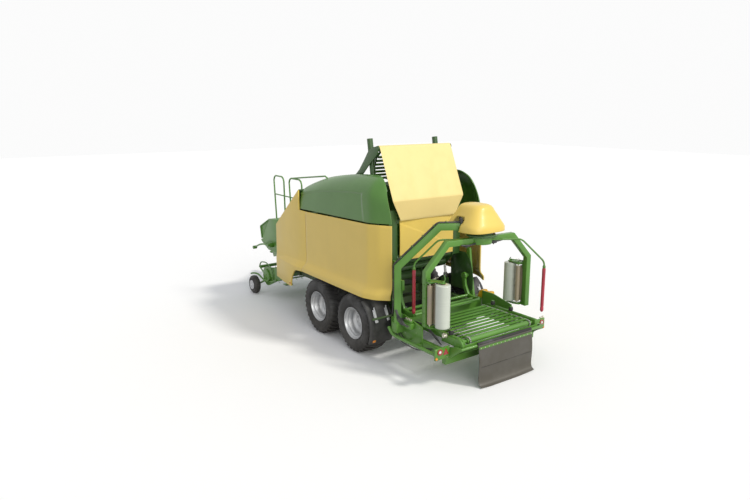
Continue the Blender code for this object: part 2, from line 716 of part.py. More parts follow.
# Gearbox on the drawbar with the stub of its drive shaft
gearbox_base = NET_BOX_BOTTOM
gearbox_mid = gearbox_base + GEARBOX_HEIGHT / 2
pieces = [block((-GEARBOX_WIDTH / 2, GEARBOX_REAR, gearbox_base),
                (GEARBOX_WIDTH / 2, GEARBOX_REAR + GEARBOX_LENGTH, gearbox_base + GEARBOX_HEIGHT)),
          round_bar((0, GEARBOX_REAR + GEARBOX_LENGTH - OVERLAP, gearbox_mid),
                    (0, GEARBOX_REAR + GEARBOX_LENGTH + PTO_STUB_LENGTH, gearbox_mid), PTO_STUB_RADIUS)]
part("gearbox", "dark_green_paint", pieces, chassis)

# Green top covers: a curved shoulder along each side of the chamber.
# Each station: place along the cover, how far its side is drawn in, how high its top is
cover_stations = ((0.0, 0.0, 0.30), (0.10, 0.0, 0.52), (0.26, 0.0, 0.71), (0.56, 0.0, 0.94),
                  (0.83, 0.0, 1.0), (0.94, 0.35, 0.97), (1.0, 1.0, 0.86))
cover_length = COVER_FRONT - COVER_REAR
cover_draw = PANEL_X - DOOR_REAR_X
cover_foot_front = DOOR_TOP_FRONT + COVER_GAP + COVER_THICK / 2
cover_foot_rear = DOOR_TOP_REAR + COVER_GAP + COVER_THICK / 2


def cover_skin(side, thickness):
    rows = []
    for place_share, draw_share, height_share in cover_stations:
        y = COVER_FRONT - cover_length * place_share
        foot = cover_foot_front + (cover_foot_rear - cover_foot_front) * place_share
        rise = (COVER_TOP - foot) * height_share
        out = COVER_X - cover_draw * draw_share
        shoulder = COVER_SHOULDER_X - cover_draw * draw_share * 0.9
        rows.append(mirror_x([(out, y, foot), (out - COVER_THICK, y, foot + rise * 0.45),
                              (shoulder, y, foot + rise * 0.78),
                              ((shoulder + COVER_INNER_X) / 2, y, foot + rise * 0.96),
                              (COVER_INNER_X, y, foot + rise)], side))
    return shell(rows, thickness)


for label, side in SIDES:
    part("top_cover_" + label, "green_paint", [cover_skin(side, COVER_THICK)], chassis)

# Bale chamber: side walls, the bulkhead at the front and the sloping deck over it
wall_top = DECK_TOP - OVERLAP
wall_outline = [(CHAMBER_REAR, rail_top + SEAT), (CHAMBER_FRONT - OVERLAP, rail_top + SEAT),
                (CHAMBER_FRONT - OVERLAP, BULKHEAD_TOP - OVERLAP), (DECK_REAR, wall_top),
                (TAILGATE_PIVOT_Y + CROSS_BEAM, CHAMBER_TOP), (TAILGATE_PIVOT_Y - CROSS_BEAM, CHAMBER_TOP),
                (CHAMBER_REAR, wall_top)]
deck_half = PANEL_X - PANEL_THICK - SEAT
front_skin = [(CHAMBER_FRONT, BULKHEAD_BOTTOM), (CHAMBER_FRONT, BULKHEAD_TOP), (DECK_REAR, DECK_TOP)]
wall_inner = CHAMBER_WALL_X - CHAMBER_WALL / 2
gate_inner = TAILGATE_PLATE_X - TAILGATE_PLATE / 2
pieces = [shell([[(-deck_half, y, z) for y, z in front_skin],
                 [(deck_half, y, z) for y, z in front_skin]], CHAMBER_WALL)]
for label, side in SIDES:
    pieces.append(sheet_metal(wall_outline, CHAMBER_WALL, (side * CHAMBER_WALL_X, 0, 0)))
    pieces.append(round_bar((side * CHAMBER_WALL_X, TAILGATE_PIVOT_Y, TAILGATE_PIVOT_Z),
                            (side * (gate_inner - SEAT), TAILGATE_PIVOT_Y, TAILGATE_PIVOT_Z),
                            TAILGATE_TUBE_RADIUS))
pieces.append(block((-CHAMBER_WALL_X, CHAMBER_FLOOR_REAR, CHAMBER_FLOOR_Z - CHAMBER_FLOOR / 2),
                    (CHAMBER_WALL_X, CHAMBER_FRONT - OVERLAP * 2, CHAMBER_FLOOR_Z + CHAMBER_FLOOR / 2)))
pieces.append(round_bar((-CHAMBER_WALL_X, FLOOR_ROLLER_Y, FLOOR_ROLLER_Z),
                        (CHAMBER_WALL_X, FLOOR_ROLLER_Y, FLOOR_ROLLER_Z), FLOOR_ROLLER_RADIUS, sides=ROLLER_SIDES))
for y, z in ((DECK_REAR - CROSS_BEAM, wall_top - CROSS_BEAM),
             (CHAMBER_FRONT - CROSS_BEAM * 2, rail_top + CROSS_BEAM)):
    pieces.append(round_bar((-CHAMBER_WALL_X, y, z), (CHAMBER_WALL_X, y, z), TAILGATE_TUBE_RADIUS))
seats = [cover_skin(side, COVER_THICK + SEAT * 2) for label, side in SIDES]
for y in STAY_PLACES:
    for label, side in SIDES:
        for reach, z in ((COVER_X - COVER_THICK / 2, COVER_STAY_Z), (PANEL_X - PANEL_THICK - SEAT, DOOR_STAY_Z)):
            pieces.append(round_bar((side * CHAMBER_WALL_X, y, z), (side * reach, y, z), STAY_RADIUS, sides=STAY_SIDES))
part("bale_chamber", "dark_green_paint", pieces, chassis, seats)

# Slat elevator: two chain guides round the front of the chamber with slats across
pieces = []
ring_out = ELEVATOR_RADIUS + ELEVATOR_BAND / 2
ring_in = ELEVATOR_RADIUS - ELEVATOR_BAND / 2
centre = (ELEVATOR_CENTRE_Y, ELEVATOR_CENTRE_Z)
low_end, high_end = math.radians(-70), math.radians(80)
band = arc(centre, ring_out, low_end, high_end, 12) + arc(centre, ring_in, high_end, low_end, 12)
for label, side in SIDES:
    pieces.append(sheet_metal(band, ELEVATOR_BAND_THICK, (side * ELEVATOR_BAND_X, 0, 0)))
for y, z in arc(centre, ELEVATOR_RADIUS, math.radians(-66), math.radians(76), 10):
    pieces.append(round_bar((-wall_inner + SEAT, y, z), (wall_inner - SEAT, y, z), SLAT_RADIUS, sides=SLAT_SIDES))
part("slat_elevator", "green_paint", pieces, chassis)

# Front panels, fixed, with the round cut ahead of the front wheel
mid_x = PANEL_X - PANEL_THICK / 2
low_x = SKIRT_X - PANEL_THICK / 2
flare_end = FRONT_PANEL_FRONT + CROSS_BEAM
flare_shares = ((0, 1.0), (0.35, 1.0), (0.62, 0.72), (0.86, 0.2), (1.0, 0))


def panel_row(share, flare_share):
    """The panel's section at a share of its length, its skirt flared by a share of the full flare."""
    y = DOOR_SPLIT - CROSS_BEAM + (flare_end - DOOR_SPLIT + CROSS_BEAM) * share
    skirt = mid_x + (low_x - mid_x) * flare_share
    return [(mid_x, y, FRONT_PANEL_PEAK_HEIGHT + CROSS_BEAM), (mid_x, y, CREASE_HEIGHT),
            (skirt, y, SKIRT_SHOULDER), (skirt, y, FRONT_PANEL_BOTTOM - CROSS_BEAM)]


front_outline = [(FRONT_PANEL_FRONT, FRONT_PANEL_BOTTOM + PANEL_THICK),
                 (FRONT_PANEL_BROW, FRONT_PANEL_BROW_HEIGHT),
                 (FRONT_PANEL_SLOPE_FOOT, FRONT_PANEL_SLOPE_FOOT_HEIGHT),
                 (COVER_FRONT + COVER_GAP, FRONT_PANEL_PEAK_HEIGHT),
                 (COVER_FRONT + COVER_GAP, DOOR_TOP_FRONT), (DOOR_SPLIT, DOOR_TOP_FRONT),
                 (DOOR_SPLIT, DOOR_BOTTOM_FRONT)]
front_outline += arc((DOOR_SPLIT, FRONT_PANEL_BOTTOM - OVERLAP), ARCH_RADIUS,
                     math.radians(55), math.radians(3), 8)
front_outline += [(FRONT_PANEL_TOE, FRONT_PANEL_BOTTOM)]
prism_middle = (PANEL_X + SKIRT_X) / 2
for label, side in SIDES:
    skin = shell([mirror_x(panel_row(*shares), side) for shares in flare_shares], PANEL_THICK)
    prism = sheet_metal(front_outline, PANEL_X, (side * prism_middle, 0, 0))
    part("front_panel_" + label, "cream_paint", [join(skin, [prism], "INTERSECT")], chassis)

# Side doors: long cream panels over the wheels, hinged along their top edge
inner = PANEL_THICK / 2
door_stations = ((DOOR_SPLIT - DOOR_GAP, PANEL_X, SKIRT_X, DOOR_TOP_FRONT, DOOR_BOTTOM_FRONT),
                 (DOOR_CREASE_1, PANEL_X, SKIRT_X, DOOR_TOP_REAR - OVERLAP, DOOR_BOTTOM_REAR),
                 (DOOR_CREASE_2, DOOR_CREASE_2_X, (DOOR_CREASE_2_X + SKIRT_X) / 2, DOOR_TOP_REAR,
                  DOOR_BOTTOM_REAR),
                 (DOOR_REAR, DOOR_REAR_X, DOOR_REAR_X + OVERLAP, DOOR_TOP_REAR, DOOR_BOTTOM_FRONT))
for label, side in SIDES:
    door = pivot("side_door_" + label, side * PANEL_X, 0, DOOR_TOP_REAR, chassis)
    rows = [mirror_x([(x - inner, y, top), (x - inner, y, CREASE_HEIGHT),
                      (skirt - inner, y, SKIRT_SHOULDER), (skirt - inner, y, low)], side)
            for y, x, skirt, top, low in door_stations]
    part("side_panel_" + label, "cream_paint", [shell(rows, PANEL_THICK)], door)

# Net box across the front, hollow, with a lid that swings up
box_profile = [(NET_BOX_REAR, NET_BOX_BOTTOM), (NET_BOX_TOE, NET_BOX_BOTTOM),
               (NET_BOX_CHIN, NET_BOX_CHIN_HEIGHT), (NET_BOX_NOSE, NET_BOX_NOSE_HEIGHT),
               (NET_BOX_BROW, NET_BOX_BROW_HEIGHT), (NET_BOX_REAR, NET_BOX_TOP)]
wall = NET_BOX_WALL
hollow = [(NET_BOX_REAR + wall, NET_BOX_BOTTOM + wall), (NET_BOX_TOE - wall / 3, NET_BOX_BOTTOM + wall),
          (NET_BOX_CHIN - wall, NET_BOX_CHIN_HEIGHT + wall / 2),
          (NET_BOX_NOSE - wall * 1.2, NET_BOX_NOSE_HEIGHT - wall / 2),
          (NET_BOX_BROW - wall / 2, NET_BOX_BROW_HEIGHT - wall * 1.2),
          (NET_BOX_REAR + wall, NET_BOX_TOP - wall * 1.2)]
lid_low = NET_BOX_CHIN_HEIGHT + wall * 2
lid_cut = [(NET_BOX_BROW, NET_BOX_BROW_HEIGHT - wall * 2), (NET_BOX_BROW, NET_BOX_TOP + CROSS_BEAM),
           (NET_BOX_NOSE + CROSS_BEAM, NET_BOX_TOP + CROSS_BEAM), (NET_BOX_NOSE + CROSS_BEAM, lid_low),
           (NET_BOX_CHIN - wall * 2, lid_low)]
box = sheet_metal(box_profile, NET_BOX_HALF * 2, (0, 0, 0))
inside = sheet_metal(hollow, (NET_BOX_HALF - wall) * 2, (0, 0, 0))
front_cut = sheet_metal(lid_cut, (NET_BOX_HALF + CROSS_BEAM) * 2, (0, 0, 0))
part("net_box", "green_paint", [box], chassis, (inside, front_cut))
lid = pivot("net_lid", 0, NET_BOX_BROW, NET_BOX_BROW_HEIGHT, chassis)
lid_rows = [(NET_BOX_BROW + wall * 0.22 + SEAT, NET_BOX_BROW_HEIGHT - RUNNING_GAP),
            (NET_BOX_NOSE - wall / 2, NET_BOX_NOSE_HEIGHT), (NET_BOX_CHIN + wall / 3, lid_low + wall)]
lid_half = NET_BOX_HALF - wall / 2
part("net_lid_panel", "green_paint",
     [shell([[(-lid_half, y, z) for y, z in lid_rows], [(lid_half, y, z) for y, z in lid_rows]], wall)], lid)

# Hand rails: two hoops on each side of the way up, a cross bar and the long top rail
def hoop(x, front, rear, front_foot, rear_foot):
    corner = HOOP_CORNER
    return pipe([(x, front - corner / 2, front_foot), (x, front, HOOP_TOP - corner),
                 (x, front - corner / 3, HOOP_TOP - corner / 3), (x, front - corner, HOOP_TOP),
                 (x, rear + corner, HOOP_TOP), (x, rear + corner / 3, HOOP_TOP - corner / 3),
                 (x, rear, HOOP_TOP - corner), (x, rear, rear_foot)], RAIL_TUBE)


deck_slope = (DECK_TOP - BULKHEAD_TOP) / (CHAMBER_FRONT - DECK_REAR)
deck_skin = CHAMBER_WALL / 2 * math.sqrt(1 + deck_slope ** 2) + SEAT


def deck_height(y):
    """Top of the sloping deck, raised for a tube's round foot."""
    return BULKHEAD_TOP + (CHAMBER_FRONT - y) * deck_slope + deck_skin + RAIL_TUBE * deck_slope


def box_height(y):
    share = (y - NET_BOX_REAR) / (NET_BOX_BROW - NET_BOX_REAR)
    return NET_BOX_TOP + (NET_BOX_BROW_HEIGHT - NET_BOX_TOP) * share + SEAT


x = -RAIL_PLANE_X
first_front = HOOP_FRONT - HOOP_CORNER / 2
pieces = [hoop(x, HOOP_FRONT, HOOP_REAR, box_height(first_front - RAIL_TUBE / 2),
               box_height(HOOP_REAR - RAIL_TUBE)),
          hoop(x, SECOND_HOOP_FRONT, SECOND_HOOP_REAR, deck_height(SECOND_HOOP_FRONT - HOOP_CORNER / 2),
               deck_height(SECOND_HOOP_REAR))]
pieces.append(pipe([(x, HOOP_FRONT - HOOP_CORNER / 4, HOOP_BAR), (x, SECOND_HOOP_REAR, HOOP_BAR)], RAIL_TUBE * 0.8))
top_rail_front = SECOND_HOOP_FRONT - HOOP_CORNER
pieces.append(pipe([(x, top_rail_front, HOOP_TOP), (x, TOP_RAIL_END + HOOP_CORNER, TOP_RAIL_HEIGHT),
                    (x, TOP_RAIL_END + HOOP_CORNER / 4, TOP_RAIL_HEIGHT - HOOP_CORNER / 4),
                    (x, TOP_RAIL_END, TOP_RAIL_FOOT)], RAIL_TUBE * 0.9))
part("hand_rails", "green_paint", pieces, chassis, (cover_skin(-1, COVER_THICK + SEAT * 2),))

# Pick-up: side plates round the reel, back tubes, the crop roller and the gauge wheel arms
pickup = pivot("pickup", 0, PICKUP_PIVOT_Y, PICKUP_PIVOT_Z, chassis)
reel_at = (REEL_Y, REEL_Z)
pivot_at = (PICKUP_PIVOT_Y, PICKUP_PIVOT_Z)
shield = arc(reel_at, SHIELD_RADIUS, math.radians(-115), math.radians(95), 14)
ear = arc(pivot_at, PICKUP_TUBE_RADIUS * 2, math.radians(80), math.radians(260), 6)
pieces = []
plate_in = PICKUP_PLATE_X - PICKUP_PLATE / 2
for label, side in SIDES:
    pieces.append(sheet_metal(shield + ear, PICKUP_PLATE, (side * PICKUP_PLATE_X, 0, 0)))
    arm_x = side * (GAUGE_X - GAUGE_WIDTH / 2 - GAUGE_ARM_RADIUS - RUNNING_GAP)
    plate_x = side * PICKUP_PLATE_X
    pieces.append(pipe([(plate_x, REEL_Y - SHIELD_RADIUS, REEL_Z), (arm_x, REEL_Y - SHIELD_RADIUS, REEL_Z),
                        (arm_x, REEL_Y - SHIELD_RADIUS / 2, REEL_Z - CROSS_BEAM),
                        (arm_x, REEL_Y, REEL_Z - CROSS_BEAM), (arm_x, GAUGE_Y, GAUGE_RADIUS)],
                       GAUGE_ARM_RADIUS))
    pieces.append(round_bar((arm_x, GAUGE_Y, GAUGE_RADIUS),
                            (side * (GAUGE_X - GAUGE_WIDTH / 4 - SEAT), GAUGE_Y, GAUGE_RADIUS), GAUGE_AXLE_RADIUS))
    pieces.append(round_bar((plate_x, REEL_Y + SHIELD_RADIUS - RAIL_TUBE * 2, REEL_Z + RAIL_TUBE * 2),
                            (plate_x, CROP_ROLLER_Y, CROP_ROLLER_Z), RAIL_TUBE))
    pieces.append(round_bar((plate_x, REEL_Y, REEL_Z),
                            (side * (plate_in - REEL_END_GAP * 2), REEL_Y, REEL_Z), SPINDLE_RADIUS))
for y, z, radius in ((CROP_ROLLER_Y, CROP_ROLLER_Z, CROP_ROLLER_RADIUS),
                     ((PICKUP_PIVOT_Y + REEL_Y) / 2, PICKUP_PIVOT_Z - CROSS_BEAM, PICKUP_TUBE_RADIUS)):
    pieces.append(round_bar((-PICKUP_PLATE_X, y, z), (PICKUP_PLATE_X, y, z), radius))
part("pickup_frame", "green_paint", pieces, pickup)

# Tine reel: a core drum, end discs, tine bars and their double tines
reel = pivot("pickup_reel", 0, REEL_Y, REEL_Z, pickup)
reel_half = plate_in - REEL_END_GAP * 2 - SEAT
pieces = [round_bar((-reel_half, REEL_Y, REEL_Z), (reel_half, REEL_Y, REEL_Z), REEL_CORE_RADIUS)]
for x in (-reel_half + REEL_END_GAP, 0, reel_half - REEL_END_GAP):
    pieces.append(round_bar((x - REEL_END_GAP / 2, REEL_Y, REEL_Z), (x + REEL_END_GAP / 2, REEL_Y, REEL_Z),
                            REEL_TINE_BAR_RADIUS + RAIL_TUBE * 1.5, sides=ROUND_STEPS))
tine_count = int((reel_half - TINE_PITCH) / TINE_PITCH) * 2 + 2
for bar in range(TINE_BARS):
    angle = 2 * math.pi * (bar + 0.25) / TINE_BARS
    y = REEL_Y + REEL_TINE_BAR_RADIUS * math.cos(angle)
    z = REEL_Z + REEL_TINE_BAR_RADIUS * math.sin(angle)
    tip_angle = angle - 0.25
    tip_y = REEL_Y + TINE_TIP_RADIUS * math.cos(tip_angle)
    tip_z = REEL_Z + TINE_TIP_RADIUS * math.sin(tip_angle)
    pieces.append(round_bar((-reel_half + REEL_END_GAP, y, z), (reel_half - REEL_END_GAP, y, z),
                            RAIL_TUBE, sides=SLAT_SIDES))
    for i in range(tine_count):
        x = (i - (tine_count - 1) / 2) * TINE_PITCH + (TINE_PITCH / 4 if bar % 2 else 0)
        pieces.append(round_bar((x, y, z), (x, tip_y, tip_z), TINE_RADIUS, TINE_RADIUS / 2, sides=TINE_SIDES))
part("tine_reel", "green_paint", pieces, reel)

# Gauge wheels
for label, side in SIDES:
    hub = pivot("gauge_" + label, side * GAUGE_X, GAUGE_Y, GAUGE_RADIUS, pickup)
    place = Matrix.Translation(pivot_place[hub.name]) @ Matrix.Rotation(side * math.pi / 2, 4, "Y")
    half = GAUGE_WIDTH / 2
    profile = [(0, half * 0.4), (GAUGE_RADIUS * 0.5, half * 0.4), (GAUGE_RADIUS * 0.55, half * 0.8),
               (GAUGE_RADIUS * 0.78, half), (GAUGE_RADIUS * 0.96, half * 0.7), (GAUGE_RADIUS, half * 0.3)]
    profile += [(r, -h) for r, h in reversed(profile[1:])]
    profile.append((0, -half / 2))
    profile[-2] = (profile[-2][0], -half / 2)
    part("gauge_wheel_" + label, "black_rubber", [turned(profile, place, 16)], hub)

# Tailgate: side plates hung on the upper pins, rear flanges and cross tubes
gate = pivot("tailgate", 0, TAILGATE_PIVOT_Y, TAILGATE_PIVOT_Z, chassis)
gate_outline = [(TAILGATE_PIVOT_Y + CROSS_BEAM, TAILGATE_PIVOT_Z + CROSS_BEAM / 2),
                (TRUNNION_Y, TAILGATE_PIVOT_Z + CROSS_BEAM * 2), (TAILGATE_REAR + CROSS_BEAM, TAILGATE_PIVOT_Z + CROSS_BEAM),
                (TAILGATE_REAR, TAILGATE_PIVOT_Z - CROSS_BEAM * 3), (TAILGATE_REAR, TAILGATE_BOTTOM),
                (TAILGATE_REAR + CROSS_BEAM * 2.6, TAILGATE_BOTTOM - CROSS_BEAM * 2.6),
                (CHAMBER_REAR - CROSS_BEAM, TAILGATE_BOTTOM - CROSS_BEAM * 4.6),
                (TAILGATE_PIVOT_Y - OVERLAP, TAILGATE_BOTTOM - CROSS_BEAM * 4),
                (TAILGATE_PIVOT_Y + CROSS_BEAM, TAILGATE_PIVOT_Z - CROSS_BEAM)]
door_y = TAILGATE_REAR - REAR_DOOR_THICK
door_tube_y = door_y + REAR_DOOR_THICK / 2 + SEAT + TAILGATE_TUBE_RADIUS * math.cos(math.pi / ROD_SIDES)
gate_outer = TAILGATE_PLATE_X + TAILGATE_PLATE / 2
pieces = []
for label, side in SIDES:
    pieces.append(sheet_metal(gate_outline, TAILGATE_PLATE, (side * TAILGATE_PLATE_X, 0, 0)))
    pieces.append(block((side * TAILGATE_PLATE_X, TAILGATE_REAR - OVERLAP / 5, TAILGATE_BOTTOM + OVERLAP),
                        (side * TAILGATE_FLANGE_X, TAILGATE_REAR + TAILGATE_FLANGE,
                         TAILGATE_PIVOT_Z - CROSS_BEAM * 3)))
for z in (REAR_DOOR_BOTTOM + CROSS_BEAM / 2, REAR_DOOR_TOP - CROSS_BEAM / 2):
    pieces.append(round_bar((-TAILGATE_PLATE_X, door_tube_y, z), (TAILGATE_PLATE_X, door_tube_y, z),
                            TAILGATE_TUBE_RADIUS))
pieces.append(round_bar((-TAILGATE_PLATE_X, TAILGATE_REAR + CROSS_BEAM * 2, TAILGATE_PIVOT_Z),
                        (TAILGATE_PLATE_X, TAILGATE_REAR + CROSS_BEAM * 2, TAILGATE_PIVOT_Z),
                        TAILGATE_TUBE_RADIUS))
for y, z in GATE_ROLLER_PLACES:
    pieces.append(round_bar((-TAILGATE_PLATE_X, y, z), (TAILGATE_PLATE_X, y, z), GATE_ROLLER_RADIUS,
                            sides=ROLLER_SIDES))
part("tailgate_frame", "dark_green_paint", pieces, gate)

# Rear door: a cream skin with a shallow crown, on the tailgate's tubes
rows = []
for share in (-1.0, -0.5, 0.0, 0.5, 1.0):
    crown = REAR_DOOR_BULGE * (1 - share ** 2)
    waist = (REAR_DOOR_BOTTOM + REAR_DOOR_TOP) / 2
    rows.append([(REAR_DOOR_HALF * share, door_y - crown, REAR_DOOR_TOP),
                 (REAR_DOOR_HALF * share, door_y - crown - REAR_DOOR_THICK / 2, waist),
                 (REAR_DOOR_HALF * share, door_y - crown, REAR_DOOR_BOTTOM)])
part("rear_door", "cream_paint", [shell(rows, REAR_DOOR_THICK)], gate)

# Tension frame: swing plates, inner guide plates, the top roller, bars and pivot tubes
swing_outline = [(TAILGATE_PIVOT_Y - CROSS_BEAM * 0.7, TAILGATE_PIVOT_Z - CROSS_BEAM * 0.6),
                 (TAILGATE_PIVOT_Y + CROSS_BEAM * 0.9, TAILGATE_PIVOT_Z - CROSS_BEAM * 0.2),
                 (TAILGATE_PIVOT_Y + CROSS_BEAM * 0.6, TAILGATE_PIVOT_Z + CROSS_BEAM * 1.4),
                 (TRUNNION_Y + CROSS_BEAM * 1.2, TRUNNION_Z + CROSS_BEAM * 0.4),
                 (TOP_ROLLER_Y + CROSS_BEAM * 0.5, TOP_ROLLER_Z + CROSS_BEAM * 0.7),
                 (TOP_ROLLER_Y - CROSS_BEAM * 0.2, TOP_ROLLER_Z - CROSS_BEAM * 0.5),
                 (TRUNNION_Y - CROSS_BEAM * 1.2, TRUNNION_Z - CROSS_BEAM * 1.2)]
guide_outline = [(TRUNNION_Y + CROSS_BEAM, TAILGATE_PIVOT_Z + CROSS_BEAM * 2 + SEAT + OVERLAP),
                 (TRUNNION_Y, TRUNNION_Z - CROSS_BEAM), (TOP_ROLLER_Y + OVERLAP * 3, TOP_ROLLER_Z),
                 (TOP_ROLLER_Y - OVERLAP * 2, TOP_ROLLER_Z - OVERLAP),
                 (TOP_ROLLER_Y + CROSS_BEAM * 0.5, TRUNNION_Z - CROSS_BEAM * 2),
                 (TOP_ROLLER_Y + CROSS_BEAM, TAILGATE_PIVOT_Z + CROSS_BEAM * 2 + SEAT + OVERLAP)]
pieces = [round_bar((-TENSION_PLATE_X, TOP_ROLLER_Y, TOP_ROLLER_Z), (TENSION_PLATE_X, TOP_ROLLER_Y, TOP_ROLLER_Z),
                    TOP_ROLLER_RADIUS, sides=ROLLER_SIDES)]
for label, side in SIDES:
    pieces.append(sheet_metal(swing_outline, TENSION_PLATE, (side * TENSION_PLATE_X, 0, 0)))
    pieces.append(sheet_metal(guide_outline, TAILGATE_PLATE, (side * TAILGATE_PLATE_X, 0, 0)))
    pieces.append(round_bar((side * TENSION_PLATE_X, TAILGATE_PIVOT_Y, TAILGATE_PIVOT_Z),
                            (side * (gate_outer + SEAT), TAILGATE_PIVOT_Y, TAILGATE_PIVOT_Z),
                            TAILGATE_TUBE_RADIUS))
for share in (0.12, 0.30, 0.48, 0.66, 0.84):
    z = TAILGATE_PIVOT_Z + CROSS_BEAM * 2 + (TOP_ROLLER_Z - TAILGATE_PIVOT_Z - CROSS_BEAM * 2) * share
    y = TRUNNION_Y + CROSS_BEAM * 0.4 + (TOP_ROLLER_Y - TRUNNION_Y) * max(share - 0.25, 0) * 1.25
    pieces.append(round_bar((-TAILGATE_PLATE_X, y, z), (TAILGATE_PLATE_X, y, z), SLAT_RADIUS, sides=STAY_SIDES))
part("tension_frame", "dark_green_paint", pieces, gate)

# Tension cylinders: barrels on the swing plates' trunnions, rods down to the frame
axis_down = (Vector((0, ROD_FOOT_Y, ROD_FOOT_Z)) - Vector((0, TRUNNION_Y, TRUNNION_Z))).normalized()
for label, side in SIDES:
    trunnion = Vector((side * CYLINDER_X, TRUNNION_Y, TRUNNION_Z))
    foot = Vector((side * CYLINDER_X, ROD_FOOT_Y, ROD_FOOT_Z))
    top = trunnion - axis_down * BARREL_ABOVE
    bottom = trunnion + axis_down * BARREL_BELOW
    barrel_pivot = pivot("tension_barrel_" + label, *trunnion, gate)
    length = BARREL_ABOVE + BARREL_BELOW
    profile = [(0, 0), (BARREL_RADIUS, 0), (BARREL_RADIUS, -length), (BARREL_BORE, -length),
               (BARREL_BORE, -BARREL_RADIUS), (0, -BARREL_RADIUS)]
    turn = axis_down.to_track_quat("-Z", "Y").to_matrix().to_4x4()
    barrel = turned(profile, Matrix.Translation(top) @ turn, ROUND_STEPS)
    pin = round_bar((side * (CYLINDER_X + BARREL_RADIUS - OVERLAP), TRUNNION_Y, TRUNNION_Z),
                    (side * (TENSION_PLATE_X - TENSION_PLATE / 2 - SEAT), TRUNNION_Y, TRUNNION_Z),
                    TRUNNION_RADIUS)
    part("cylinder_barrel_" + label, "dark_green_paint", [barrel, pin], barrel_pivot)
    rod_pivot = pivot("tension_rod_" + label, *trunnion, barrel_pivot)
    rod_top = bottom - axis_down * ROD_IN_BARREL
    pieces = [round_bar(rod_top, foot, ROD_RADIUS),
              round_bar(foot - Vector((ROD_EYE_PIN, 0, 0)), foot + Vector((ROD_EYE_PIN, 0, 0)), ROD_EYE_RADIUS)]
    part("cylinder_rod_" + label, "bright_steel", pieces, rod_pivot)

# Curtain: one sheet over the top roller and down to the rear door
wrap_step = math.radians(23)
wrap_radius = (TOP_ROLLER_RADIUS + SEAT + CURTAIN_THICK / 2) / math.cos(wrap_step / 2)
path = [(y, z, CURTAIN_HALF_TOP) for y, z in
        arc((TOP_ROLLER_Y, TOP_ROLLER_Z), wrap_radius, math.radians(50), math.radians(165), 6)]
path += [(CURTAIN_FOLD_Y, CURTAIN_FOLD_Z, CURTAIN_HALF_TOP),
         (CURTAIN_BOTTOM_Y, CURTAIN_BOTTOM_Z, CURTAIN_HALF_BOTTOM)]
rows = [[(half * share, y, z) for share in (-1.0, 0.0, 1.0)] for y, z, half in path]
part("curtain", "cream_fabric", [shell(rows, CURTAIN_THICK)], gate)

# Wrapping frame: beams behind the wheels, posts for the bale lifter, side plates, mat carrier
beam_top = WRAP_BEAM_BOTTOM + WRAP_BEAM_HEIGHT
beam_in = WRAP_BEAM_X - WRAP_BEAM_WIDTH / 2
beam_out = WRAP_BEAM_X + WRAP_BEAM_WIDTH / 2
front_face = FRAME_REAR - SEAT
post_x = LIFTER_X + LIFTER_ARM_THICK * 2.4
gantry_base_z = beam_top + CROSS_BEAM * 2
pieces = [block((-beam_out, front_face - WRAP_FRONT_BEAM, WRAP_BEAM_BOTTOM + OVERLAP),
                (beam_out, front_face, rail_top - CROSS_BEAM / 2)),
          block((-beam_out + OVERLAP, WRAP_REAR + OVERLAP, WRAP_BEAM_BOTTOM - CROSS_BEAM),
                (beam_out - OVERLAP, WRAP_REAR + CROSS_BEAM, WRAP_BEAM_BOTTOM + OVERLAP)),
          round_bar((-beam_in + OVERLAP, MAT_TUBE_Y, MAT_TOP_Z), (beam_in - OVERLAP, MAT_TUBE_Y, MAT_TOP_Z),
                    MAT_TUBE_RADIUS)]
plate_outline = [(SIDE_PLATE_FRONT, beam_top), (SIDE_PLATE_FRONT, SIDE_PLATE_TOP),
                 (SIDE_PLATE_FRONT - CROSS_BEAM * 3, SIDE_PLATE_TOP), (SIDE_PLATE_REAR, SIDE_PLATE_TOP - CROSS_BEAM),
                 (SIDE_PLATE_REAR, WRAP_BEAM_BOTTOM + OVERLAP), (SIDE_PLATE_FRONT - CROSS_BEAM, WRAP_BEAM_BOTTOM + OVERLAP)]
post_outline = [(front_face - WRAP_FRONT_BEAM + OVERLAP, beam_top), (front_face - OVERLAP, beam_top),
                (LIFTER_PIVOT_Y + CROSS_BEAM / 2, LIFTER_PIVOT_Z - CROSS_BEAM * 2),
                (LIFTER_PIVOT_Y + CROSS_BEAM / 2, ARM_ELBOW_Z - CROSS_BEAM / 2),
                (LIFTER_PIVOT_Y - CROSS_BEAM / 3, ARM_ELBOW_Z - CROSS_BEAM / 2),
                (LIFTER_PIVOT_Y - CROSS_BEAM, LIFTER_PIVOT_Z)]
carrier_outline = [(WRAP_REAR + CROSS_BEAM * 2, beam_top - OVERLAP), (WRAP_REAR + CROSS_BEAM * 2, WRAP_BEAM_BOTTOM),
                   (WRAP_REAR, WRAP_BEAM_BOTTOM), (MAT_TUBE_Y - OVERLAP, MAT_TOP_Z - RAIL_TUBE),
                   (MAT_TUBE_Y - OVERLAP, MAT_TOP_Z + RAIL_TUBE), (MAT_TUBE_Y + CROSS_BEAM, MAT_TOP_Z + RAIL_TUBE)]
